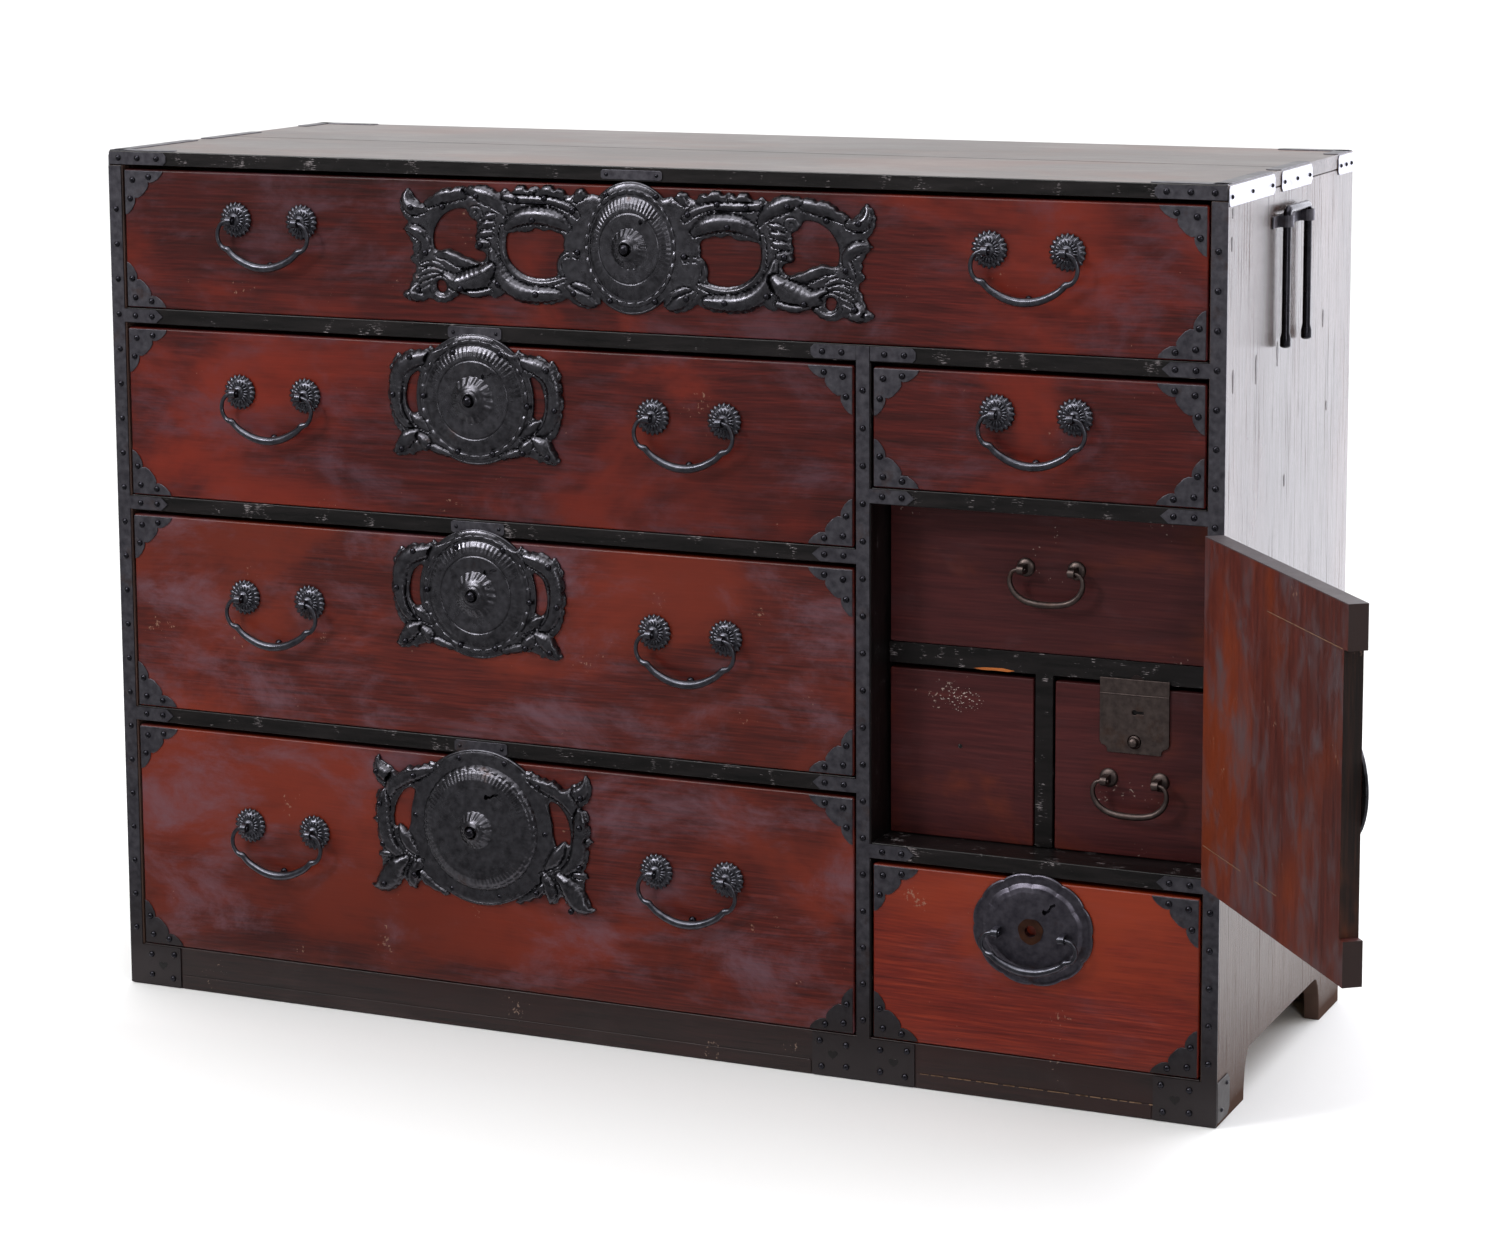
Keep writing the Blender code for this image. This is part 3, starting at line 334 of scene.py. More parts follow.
elm_front = lacquered_wood("red-brown lacquer on planed elm", "X",
                           ("#240807", "#400f0c", "#561811", "#681d0e", "#533640"), haze=0.6,
                           specular=0.25, blotch=17)
elm_low = lacquered_wood("red-brown lacquer, hazy", "X",
                         ("#2c0d0b", "#4a150f", "#622015", "#702411", "#624650"), haze=0.75,
                         specular=0.28, blotch=15, seed=9.4)
elm_glow = lacquered_wood("orange-red lacquer on planed elm", "X",
                          ("#400f08", "#5f180d", "#7a2812", "#732409", "#654049"), haze=0.3,
                          specular=0.3, seed=3.1)
elm_inner = lacquered_wood("thin brown lacquer on planed cedar", "X",
                           ("#240e0f", "#3d1718", "#50201e", "#64270f", "#4b3035"), haze=0.3,
                           contrast=1.3, blotch=20, roughness=0.45, specular=0.16,
                           scratch="#a8958b", scratched=0.6, seed=5.3)
elm_door = lacquered_wood("worn brown lacquer on planed elm", "Z",
                          ("#351512", "#4d211b", "#60291f", "#69290f", "#4d4246"), haze=0.85,
                          roughness=0.42, scratched=0.6, contrast=0.9, blotch=30, seed=1.7)
side_lacquer = lacquered_wood("glossy brown lacquer on planed cedar", "Z",
                              ("#281c19", "#3e2e29", "#4e3b35", "#523e38", "#5c4a45"), rings=9,
                              roughness=0.25, specular=0.42, bump=0.3, contrast=0.5, uneven=0.07,
                              scratch="#2a1c18", scratched=0.5, seed=2.2)
top_lacquer = lacquered_wood("weathered brown lacquer on planed cedar", "X",
                             ("#332a27", "#55494a", "#70625d", "#604038", "#8a7f7a"), rings=8,
                             roughness=0.34, specular=0.5, scratch="#2c211d", scratched=0.5,
                             contrast=0.6, uneven=0.1, seed=4.4)
plinth_lacquer = lacquered_wood("worn black-brown lacquer on cedar", "X",
                                ("#120b0b", "#221413", "#301a18", "#2b1412", "#3a2d2c"),
                                haze=0.4, specular=0.3, scratch="#8c7466", scratched=0.45,
                                seed=6.1)
split_cedar = lacquered_wood("freshly split cedar", "X",
                             ("#7d3f16", "#a45a24", "#c07a3c", "#94501f", "#b48656"), roughness=0.75)
bare_cedar = lacquered_wood("bare planed cedar", "X",
                            ("#5e4936", "#7f664b", "#96795a", "#725740", "#887663"),
                            roughness=0.7, scratched=0.1, seed=7.7)
box_cedar = lacquered_wood("old planed cedar", "Y",
                           ("#5f4a35", "#7d6349", "#957a5c", "#74593f", "#84735e"),
                           roughness=0.7, scratched=0.1, seed=3.9)


def paint_past(material, direction, edge, ramp, colour):
    """Paints what lies past a distance along a direction. The ramp is where the paint fades."""
    tree = material.node_tree
    shader = tree.nodes["Principled BSDF"]
    far = add(tree, "VectorMath", {0: add(tree, "TexCoord").outputs["Object"],
                                   1: direction}, operation="DOT_PRODUCT")
    past = add(tree, "MapRange", {0: far.outputs["Value"], 1: edge, 2: edge + ramp, 3: 1.0, 4: 0.0})
    mixed = add(tree, "Mix", {
        0: past, 6: shader.inputs["Base Color"].links[0].from_socket,
        7: hex_colour(colour)}, data_type="RGBA")
    tree.links.new(mixed.outputs[2], shader.inputs["Base Color"])


def dull_side(material, shine):
    """Splits the grain of the side, and takes its sheen away towards the floor, as painted shade."""
    tree = material.node_tree
    shader = tree.nodes["Principled BSDF"]
    place = add(tree, "TexCoord").outputs["Object"]
    split = add(tree, "SeparateXYZ", {0: place})
    height = add(tree, "MapRange", {0: split.outputs["Z"], 1: 0.0, 2: 0.38})
    low = add(tree, "ValToRGB", {0: height},
              stops=[(0.03, (0.0,) * 3), (1.0, (1.0,) * 3), (0.30, (0.45,) * 3)])
    fibres = add(tree, "Mapping", {"Vector": place, "Scale": (1.0, 1.0, 0.016)})
    gaps = add(tree, "TexNoise", {"Vector": fibres, "Scale": 330.0,
                                  "Detail": 4.0, "Roughness": 0.6})
    whole = add(tree, "MapRange", {0: gaps, 1: 0.375, 2: 0.425, 3: 0.12, 4: 1.0})
    both = add(tree, "Math", {0: low, 1: whole}, operation="MULTIPLY")
    level = add(tree, "Math", {0: both, 1: shine}, operation="MULTIPLY")
    tree.links.new(level.outputs[0], shader.inputs["Specular IOR Level"])


paint_past(top_lacquer, (0, 1, 0), -0.0091, 0.0004, "#120e0f")
# Painted shade: the sides turn darker and browner towards the floor.
paint_past(side_lacquer, (0, 0, -1), -0.02, -0.40, "#4f3e37")
paint_past(elm_door, (0, 0, 1), 0.5705, -0.0006, "#4a4345")
dull_side(side_lacquer, 0.42)
# The door's lost edge is bare elm, its colours darkened further as painted shade.
edge_wood = ("#0e0605", "#1c0d08", "#301509", "#70320c", "#150c0a")
shaded_bare_edge = lacquered_wood("bare elm, darkened as painted shade", "Z", edge_wood, roughness=0.7, haze=0.6, seed=8.8)
old_cedar = lacquered_wood("dirty bare cedar", "X",
                           ("#5a4634", "#7a5f49", "#8f7159", "#73573f", "#8a7564"),
                           roughness=0.7, scratched=0.1, seed=6.6)
print("wood finishes", len([m for m in bpy.data.materials if "lacquer" in m.name]))

# %% [markdown]
# ## Black lacquer on the frame
#
# The frame is painted with opaque black lacquer. Two centuries of sliding drawers have scratched
# its rails: pale flecks and long scuffs run with the grain, and brown wood shows where it is
# worn through. Stretched noise, cut off high, gives both, over a base that is almost black.

# %% Black lacquer


def black_lacquer(name, along, wear):
    """Opaque lacquer with flecks along the board."""
    material, tree, shader, place = finish(name, 0.38, specular=0.26)
    stretch = [1.0, 1.0, 1.0]
    stretch["XYZ".index(along)] = 0.13
    grain = add(tree, "Mapping", {"Vector": place, "Scale": stretch})
    tone = add(tree, "TexNoise", {"Vector": grain, "Scale": 90.0, "Detail": 6.0, "Roughness": 0.7})
    base = add(tree, "ValToRGB", {0: tone},
               stops=[(0.35, hex_colour("#060505")), (0.78, hex_colour("#1c1617"))])
    flecks = add(tree, "TexNoise", {"Vector": grain, "Scale": 1100.0, "Detail": 3.0,
                                    "Roughness": 0.65})
    zones = add(tree, "TexNoise", {"Vector": place, "Scale": 60.0, "Detail": 4.0})
    product = add(tree, "Math", {0: flecks, 1: zones}, operation="MULTIPLY")
    worn = add(tree, "MapRange", {0: product, 1: 0.405 - wear * 0.045,
                                  2: 0.44 - wear * 0.04, 3: 0.0, 4: 0.7})
    colour = add(tree, "Mix", {0: worn, 6: base, 7: hex_colour("#8a8284")}, data_type="RGBA")
    rough = add(tree, "MapRange", {0: tone, 1: 0.3, 2: 0.7, 3: 0.28, 4: 0.5})
    relief = add(tree, "Bump", {"Height": tone, "Strength": 0.35, "Distance": 0.0008})
    tree.links.new(colour.outputs[2], shader.inputs["Base Color"])
    tree.links.new(rough.outputs[0], shader.inputs["Roughness"])
    tree.links.new(relief.outputs[0], shader.inputs["Normal"])
    return material


frame_rails = black_lacquer("black lacquer, scuffed", "X", 0.85)
frame_stiles = black_lacquer("black lacquer", "Z", 0.3)
print("frame finishes", frame_rails.name, "and", frame_stiles.name)

# %% [markdown]
# ## Forged and chased iron
#
# The fittings are sheet and bar iron, hammered, chased and waxed nearly black. Metal shows what
# it reflects, so the finish is mostly a slightly uneven surface: hammer marks about 4 mm across,
# a fine pitted skin, and wax that is shinier on some patches than on others. A trace of brown
# rust lies in scattered patches. The thin rust round the lost knob is a material of its own.

# %% Iron


def iron(name, dark, light, roughness, hammer=0.35, rust=0.25, rust_colour="#4a3226",
         tooled=0.3):
    """Waxed iron, hammered and slightly rusted."""
    material, tree, shader, place = finish(name, roughness, metallic=1.0)
    marks = add(tree, "TexNoise", {"Vector": place, "Scale": 150.0, "Detail": 4.0,
                                   "Roughness": 0.55})
    skin = add(tree, "TexNoise", {"Vector": place, "Scale": 900.0, "Detail": 2.0})
    cloud = add(tree, "TexNoise", {"Vector": place, "Scale": 34.0, "Detail": 5.0,
                                   "Roughness": 0.65})
    base = add(tree, "ValToRGB", {0: marks},
               stops=[(0.25, hex_colour(dark)), (0.8, hex_colour(light))])
    rusty = add(tree, "MapRange", {0: cloud, 1: 0.66 - rust * 0.3,
                                   2: 0.8 - rust * 0.2, 3: 0.0, 4: 0.7})
    colour = add(tree, "Mix", {0: rusty, 6: base, 7: hex_colour(rust_colour)}, data_type="RGBA")
    rough = add(tree, "MapRange", {0: cloud, 1: 0.3, 2: 0.7,
                                   3: roughness - 0.06, 4: roughness + 0.10})
    height = add(tree, "Math", {0: skin, 1: tooled, 2: marks}, operation="MULTIPLY_ADD")
    relief = add(tree, "Bump", {"Height": height, "Strength": hammer, "Distance": 0.0009})
    tree.links.new(colour.outputs[2], shader.inputs["Base Color"])
    tree.links.new(rough.outputs[0], shader.inputs["Roughness"])
    tree.links.new(relief.outputs[0], shader.inputs["Normal"])
    return material


strap_iron = iron("forged iron, waxed black", "#444249", "#6b6970", 0.38, hammer=0.18)
plate_iron = iron("chased iron, waxed", "#37363a", "#605f65", 0.27, hammer=0.11, rust=0.05,
                  tooled=1.0)
dark_iron = iron("beaten iron, waxed black", "#403d46", "#64616a", 0.36, hammer=0.10, rust=0.2)
bail_iron = iron("cast iron, rubbed bright", "#3c3c42", "#5e5e66", 0.30, hammer=0.10, rust=0.1)
# Black iron. On the nails its extra darkness also stands for the painted shade round each head.
nail_iron = iron("black iron, rubbed", "#222126", "#3a393f", 0.24, hammer=0.03, rust=0.05)
# Pale iron is a painted reflection: the irons on the sides take the white of the backdrop.
reflecting_pale_iron = iron("sheet iron, pale as painted reflection", "#8c8c94", "#b8b8c2", 0.30, hammer=0.12, rust=0.1)
brown_iron = iron("browned sheet iron", "#463d3c", "#675b57", 0.45, hammer=0.2, rust=0.3)
rusty_iron = iron("rusted iron", "#33231f", "#4e362c", 0.6, hammer=0.4, rust=0.8,
                  rust_colour="#5a3a2a")
# Painted shade: the straps turn darker towards the floor.
paint_past(strap_iron, (0, 0, -1), -0.046, -0.10, "#3a3637")
print("iron finishes", len([m for m in bpy.data.materials if "iron" in m.name]))

# %% [markdown]
# ## Boards of the case
#
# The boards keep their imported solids. Their corners were planed and then worn, so a weld and a
# narrow bevel on each solid catch the light as real edges do, without changing its size.

# %% Dress the boards

board_finishes = {
    "top_board": top_lacquer, "left_side_board": side_lacquer, "right_side_board": side_lacquer,
    "back_panel": bare_cedar, "bottom_board": bare_cedar, "plinth": plinth_lacquer,
    "upper_shelf": frame_rails, "left_shelf_upper": frame_rails, "left_shelf_lower": frame_rails,
    "right_shelf_upper": frame_rails, "right_shelf_lower": frame_rails,
    "centre_partition": frame_stiles, "inner_divider": frame_rails,
    "left_frame_iron": strap_iron, "centre_frame_iron": strap_iron,
    "right_frame_iron": strap_iron, "left_handle_strap": strap_iron,
    "right_handle_strap": strap_iron,
}
for node in frame["nodes"]:
    if node.endswith("_box"):
        board_finishes[node] = box_cedar
for node, material in board_finishes.items():
    obj = frame["nodes"][node]
    obj.material_slots[0].material = material
    if node.endswith(("board", "shelf", "upper", "lower", "plinth", "partition", "divider")):
        weld = obj.modifiers.new("join triangles", "WELD")
        weld.merge_threshold = 0.00001
        soften(obj, 0.0012)
print("dressed", len(board_finishes), "solids")

# %% [markdown]
# ## Drawer fronts
#
# Each front is one planed board with softened edges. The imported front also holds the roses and
# eyes of its bails, so a new board, new eyes and fuller roses take its place together. The
# places of the bails come from their hinges.

# %% Make the drawer fronts

fronts = {"top_drawer": elm_front, "second_drawer": elm_front, "third_drawer": elm_low,
          "bottom_drawer": elm_low, "small_drawer": elm_front, "lower_right_drawer": elm_glow}
front_boxes = {}
for body, material in fronts.items():
    low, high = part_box(f"{body}_front")
    high.y = front + 0.020
    front_boxes[body] = (Vector((low.x, front, low.z)), high)
    bm = bmesh.new()
    box(bm, (low.x, front, low.z), high)
    obj = keep(from_bmesh(f"{body}_face", bm), material, body, f"{body}_front", smooth=False)
    soften(obj, 0.0022, segments=3)
print("fronts", {body: round((high - low).x, 3) for body, (low, high) in front_boxes.items()})

# %% [markdown]
# ## Bails and eyes
#
# A bail is forged from one bar: thin ends that pass through the eyes, shoulders that swing out,
# a small step inwards, and a full, heavy middle. A curve with a radius at each point, rounded by
# a spline, gives that swell. The eyes are rounded lugs that stand out of the roses.

# %% Draw the bails

bail_shares = ((0.92, 0.06, 2.0), (1.0, 0.23, 2.1), (0.99, 0.42, 2.1), (0.91, 0.56, 2.2),
               (0.83, 0.60, 3.0), (0.77, 0.61, 3.4), (0.71, 0.69, 3.1), (0.585, 0.80, 3.6),
               (0.30, 0.95, 4.1), (0.0, 1.0, 4.3))
plain_shares = ((0.93, 0.06, 2.3), (1.0, 0.26, 2.6), (0.98, 0.48, 2.9), (0.84, 0.74, 3.2),
                (0.54, 0.94, 3.5), (0.0, 1.0, 3.7))


def smooth_path(points, rounds=2):
    """Cuts the corners of a path of points, keeping its ends."""
    for _ in range(rounds):
        cut = [points[0]]
        for a, b in zip(points, points[1:]):
            cut += [a * 0.75 + b * 0.25, a * 0.25 + b * 0.75]
        points = [*cut, points[-1]]
    return points


def bail_path(spacing, bulge, drop, shares):
    """The bail's line in its own plane: across, down and radius."""
    half = [(spacing - 0.0045, 0, 0.0019), (spacing + 0.004, 0, 0.0020)]
    half += [((spacing + bulge) * u, -drop * v, r * MM) for u, v, r in shares]
    both = half + [(-u, v, r) for u, v, r in half[-2::-1]]
    return smooth_path([np.array(p) for p in both])


def tube(name, path, sides=14):
    """A closed tube along points, with the radius of each, as a plain mesh."""
    curve = bpy.data.curves.new(name, "CURVE")
    curve.dimensions = "3D"
    curve.bevel_depth = 1.0
    curve.bevel_resolution = sides // 2 - 2
    curve.use_fill_caps = True
    spline = curve.splines.new("POLY")
    spline.points.add(len(path) - 1)
    for target, (point, radius) in zip(spline.points, path):
        target.co = (*point, 1)
        target.radius = radius
    bm = bmesh.new()
    bm.from_mesh(plain_mesh(placed(name, curve)))
    return from_bmesh(name, bm)


low_spacing = 0.0335
roses, small_roses = [], []
for body, pivot in pivots.items():
    if "bail" not in body:
        continue
    inner = body.startswith("inner")
    spacing, bulge, drop = (0.0255, 0.0115, 0.033) if inner else (0.0385, 0.0145, 0.0475)
    if body == "lower_right_bail":
        spacing, drop = low_spacing, 0.036
    scale = 0.9 if inner else 1.0
    line = [(pivot + Vector((p[0], 0, p[1])), p[2] * scale)
            for p in bail_path(spacing, bulge, drop, plain_shares if inner else bail_shares)]
    obj = keep(tube(f"{body}_bar", line), brown_iron if inner else bail_iron, body, body)
    for side in (-1, 1):
        spot = (pivot.x + side * spacing, pivot.z)
        if inner:
            small_roses.append((body, spot))
        elif body != "lower_right_bail":
            roses.append((body, spot))
print("bails drawn", len([b for b in pivots if "bail" in b]), "roses to make", len(roses))

# %% [markdown]
# ## Roses
#
# Behind each eye lies a rose, an iron dome with two rings of fine petals round a boss. Every rose
# is the same, so a node tree builds one, and sets a copy at each point that it is given: an
# ellipsoid is one petal, its copies are turned about the middle, and the whole flower is set
# down facing the viewer.

# %% A node tree for the roses


def new_tree(name, inputs):
    """A geometry tree with its group nodes and named inputs. Returns tree, input node, output."""
    tree = bpy.data.node_groups.new(name, "GeometryNodeTree")
    tree.interface.new_socket("Geometry", in_out="INPUT", socket_type="NodeSocketGeometry")
    tree.interface.new_socket("Geometry", in_out="OUTPUT", socket_type="NodeSocketGeometry")
    for label, kind, value in inputs:
        socket = tree.interface.new_socket(label, in_out="INPUT",
                                           socket_type=f"NodeSocket{kind}")
        if value is not None:
            socket.default_value = value
    return tree, tree.nodes.new("NodeGroupInput"), tree.nodes.new("NodeGroupOutput")


def run_tree(name, tree, verts, attributes, values):
    """Runs a tree on loose points that carry attributes, and returns a plain mesh object."""
    mesh = bpy.data.meshes.new(name)
    mesh.from_pydata([tuple(v) for v in verts], [], [])
    for label, rows in attributes.items():
        kind = "FLOAT_VECTOR" if hasattr(rows[0], "__len__") else "FLOAT"
        data = mesh.attributes.new(label, kind, "POINT").data
        for item, row in zip(data, rows):
            if kind == "FLOAT_VECTOR":
                item.vector = row
            else:
                item.value = row
    maker = placed(name, mesh)
    modifier = maker.modifiers.new(tree.name, "NODES")
    modifier.node_group = tree
    names = {item.name: item.identifier for item in tree.interface.items_tree
             if item.item_type == "SOCKET" and item.in_out == "INPUT"}
    for label, value in values.items():
        modifier[names[label]] = value
    made = plain_mesh(maker)
    made.name = name
    return placed(name, made)


rose_tree, given, out = new_tree("rose of petals", [
    ("Radius", "Float", 0.018), ("Height", "Float", 0.007), ("Petals", "Int", 14),
    ("Iron", "Material", None)])
petal = add(rose_tree, "GeometryNodeMeshUVSphere", {"Segments": 10, "Rings": 8, "Radius": 1.0})
flower = add(rose_tree, "GeometryNodeJoinGeometry")
petal_rings = ((0.74, 0.27, 0.125, 0.26, 0.0), (0.47, 0.22, 0.085, 0.60, 0.5))
for reach, length, width, lift, turn in petal_rings:
    size = add(rose_tree, "CombineXYZ", {0: length, 1: width, 2: 0.20})
    shaped = add(rose_tree, "GeometryNodeTransform", {
        "Geometry": petal, "Scale": size,
        "Translation": (reach, 0.0, lift), "Rotation": (0.0, radians(24), 0.0)})
    spots = add(rose_tree, "GeometryNodePoints", {"Count": given.outputs["Petals"]})
    index = add(rose_tree, "GeometryNodeInputIndex")
    shifted = add(rose_tree, "Math", {0: index, 1: turn}, operation="ADD")
    whole = add(rose_tree, "Math", {0: 2 * pi, 1: given.outputs["Petals"]}, operation="DIVIDE")
    angle = add(rose_tree, "Math", {0: shifted, 1: whole}, operation="MULTIPLY")
    spin = add(rose_tree, "CombineXYZ", {2: angle})
    ring = add(rose_tree, "GeometryNodeInstanceOnPoints", {
        "Points": spots, "Instance": shaped, "Rotation": spin})
    rose_tree.links.new(ring.outputs[0], flower.inputs[0])
boss = add(rose_tree, "GeometryNodeMeshUVSphere", {"Segments": 20, "Rings": 12, "Radius": 1.0})
domed = add(rose_tree, "GeometryNodeTransform", {
    "Geometry": boss, "Scale": (0.42, 0.42, 0.50), "Translation": (0.0, 0.0, 0.60)})
lifted = add(rose_tree, "GeometryNodeTransform", {
    "Geometry": boss, "Scale": (0.92, 0.92, 0.72), "Translation": (0.0, 0.0, 0.02)})
rose_tree.links.new(domed.outputs[0], flower.inputs[0])
rose_tree.links.new(lifted.outputs[0], flower.inputs[0])
one_rose = add(rose_tree, "GeometryNodeRealizeInstances", {0: flower})
rose_size = add(rose_tree, "CombineXYZ", {
    0: given.outputs["Radius"], 1: given.outputs["Radius"], 2: given.outputs["Height"]})
set_down = add(rose_tree, "GeometryNodeInstanceOnPoints", {
    "Points": given.outputs["Geometry"], "Instance": one_rose,
    "Rotation": (radians(90), 0.0, 0.0), "Scale": rose_size})
real_roses = add(rose_tree, "GeometryNodeRealizeInstances", {0: set_down})
painted = add(rose_tree, "GeometryNodeSetMaterial", {
    "Geometry": real_roses, "Material": given.outputs["Iron"]})
rose_tree.links.new(painted.outputs[0], out.inputs[0])
print("rose tree nodes", len(rose_tree.nodes))

# %% Set the roses and eyes


def eyes(name, spots, plane, axis, size):
    """Rounded lugs that carry a bail."""
    bm = bmesh.new()
    for x, z in spots:
        turns = [pi / 2 + pi * i / 12 for i in range(13)]
        outline = [(axis + 0.0044 * size * cos(a), z + 0.0044 * size * sin(a)) for a in turns]
        outline = [(plane + 0.001, z + 0.004 * size), *outline, (plane + 0.001, z - 0.004 * size)]
        prism(bm, [outline], lambda u, v, w: Vector((x + w, u, v)), -0.0030 * size,
              0.0030 * size)
    return soften(from_bmesh(name, bm), 0.0016 * size, segments=3)


for body in sorted({parents[bail] for bail, _ in roses}):
    spots = [spot for bail, spot in roses if parents[bail] == body]
    axis = pivots[next(bail for bail, _ in roses if parents[bail] == body)].y
    obj = run_tree(f"{body}_roses", rose_tree, [(x, front, z) for x, z in spots], {},
                   {"Radius": 0.0185, "Height": 0.0098, "Petals": 20, "Iron": bail_iron})
    keep(obj, bail_iron, body)
    keep(eyes(f"{body}_eyes", spots, front, axis, 1.0), bail_iron, body)
for body in sorted({parents[bail] for bail, _ in small_roses}):
    spots = [spot for bail, spot in small_roses if parents[bail] == body]
    axis = pivots[next(bail for bail, _ in small_roses if parents[bail] == body)].y
    bm = bmesh.new()
    for x, z in spots:
        flat = Matrix.Diagonal((0.0093, 0.0042, 0.0093, 1))
        bmesh.ops.create_uvsphere(bm, u_segments=28, v_segments=14, radius=1,
                                  matrix=Matrix.Translation((x, inner_front, z)) @ flat)
    keep(from_bmesh(f"{body}_roses", bm), brown_iron, body)
    keep(eyes(f"{body}_eyes", spots, inner_front, axis, 1.04), brown_iron, body)
print("roses set", len(roses) + len(small_roses))

# %% [markdown]
# ## Chased discs
#
# The middle of each lock is a round boss, raised from behind and chased from the front. Its
# height depends only on the distance from its middle and the angle, so one function of both
# gives it: a profile of rings, with fine flutes on one band, petals at its border, and the
# twisted cone that the knob stands on. The grid follows circles, so each flute stays sharp.

# %% Raise a disc


def rise(radius, low, high):
    """0 before low, 1 after high, and a smooth step between."""
    t = np.clip((radius - low) / (high - low), 0, 1)
    return t * t * (3 - 2 * t)


def band(radius, low, high, soft=0.015):
    """1 between two radii and 0 outside them, with soft edges."""
    return rise(radius, low - soft, low + soft) * (1 - rise(radius, high - soft, high + soft))


def coiled_disc(r, a, height):
    """Disc of the top, second and third locks, for shares of the radius and angles."""
    knots = np.array([(0.0, 1.22), (0.12, 1.22), (0.14, 1.12), (0.17, 1.08), (0.20, 0.98),
                      (0.27, 0.80), (0.34, 0.56), (0.36, 0.47), (0.40, 0.47), (0.52, 0.50),
                      (0.585, 0.50), (0.60, 0.43), (0.615, 0.50), (0.66, 0.48), (0.74, 0.38),
                      (0.82, 0.18), (0.845, 0.08), (0.86, 0.16), (0.90, 0.18), (0.925, 0.08),
                      (0.94, 0.06), (0.975, 0.05), (0.985, 0.11), (1.0, 0.03)])
    h = np.interp(r, knots[:, 0], knots[:, 1])
    flute = band(r, 0.635, 0.82, 0.02) * (0.5 + 0.5 * np.cos(a * 64)) * 0.022
    petal = band(r, 0.845, 0.92, 0.01) * (np.abs(np.sin(a * 15 + 0.3))) ** 0.6 * 0.14
    twist = band(r, 0.25, 0.36, 0.02) * (0.5 + 0.5 * np.cos(a * 18 + r * 12)) * 0.07
    return height * (h + flute + petal - twist)


def domed_disc(r, a, height):
    """Disc of the bottom lock, with a broad dome inside a flat ring."""
    knots = np.array([(0.0, 1.12), (0.085, 1.12), (0.10, 1.02), (0.13, 0.95), (0.17, 0.86),
                      (0.225, 0.66), (0.24, 0.60), (0.28, 0.60), (0.45, 0.575), (0.535, 0.55),
                      (0.545, 0.53), (0.555, 0.545), (0.63, 0.49), (0.72, 0.37), (0.785, 0.18),
                      (0.81, 0.05), (0.83, 0.02), (0.96, 0.02), (0.972, 0.065), (0.99, 0.06),
                      (1.0, 0.0)])
    h = np.interp(r, knots[:, 0], knots[:, 1])
    flute = band(r, 0.63, 0.765, 0.02) * (0.5 + 0.5 * np.cos(a * 80)) * 0.012
    petal = band(r, 0.755, 0.81, 0.012) * np.abs(np.sin(a * 21)) ** 0.6 * 0.055
    twist = band(r, 0.15, 0.232, 0.015) * (0.5 + 0.5 * np.cos(a * 18 + r * 16)) * 0.04
    return height * (h + flute + petal - twist)


def add_disc(bm, shape, radius, height, stretch, base, bore, place, rings=100, turns=480,
             keyhole=()):
    """A closed boss from a bore to its rim, standing on the given base, with a keyhole."""
    shares = np.linspace(bore / radius, 1.0, rings)
    angles = 2 * pi * np.arange(turns) / turns
    r, a = np.meshgrid(shares, angles, indexing="ij")
    w = base + shape(r, a, height)
    lengthen = 1 + (stretch - 1) * r * r
    u, v = radius * r * np.cos(a), radius * r * lengthen * np.sin(a)
    if keyhole:
        gap, _, half = nearest(np.stack([u.ravel(), v.ravel()], -1), keyhole)
        w = np.where((gap < half).reshape(w.shape), 0.0008, w)
    grid = [[bm.verts.new(place(u[i, j], v[i, j], w[i, j])) for j in range(turns)]
            for i in range(rings)]
    foot = [bm.verts.new(place(u[-1, j], v[-1, j], SEAT)) for j in range(turns)]
    inner = [bm.verts.new(place(u[0, j], v[0, j], SEAT)) for j in range(turns)]
    rows = [inner, *grid, foot, inner]
    for first, second in zip(rows, rows[1:]):
        for j in range(turns):
            k = (j + 1) % turns
            bm.faces.new((first[j], first[k], second[k], second[j]))


print("disc centre stands", coiled_disc(np.array([0.13]), np.array([0.0]), 12.5).round(1), "mm")

# %% [markdown]
# ## Chased wings
#
# On both sides of the disc the plate spreads into scrolling leaves, cut out with a chisel and
# raised like tubes. A wing is a list of strokes, each a line with a half width, typed in
# millimetres from the lock's middle. The plate's height at a point is the highest of the round
# strokes there, scalloped along their edges and scored by the chasing tool, over a sheet that
# is puffed up behind a raised border. A fine square grid carries that height, and its points
# near a cut edge are moved onto the edge, so that the outline stays sharp.

# %% Wing outlines and strokes

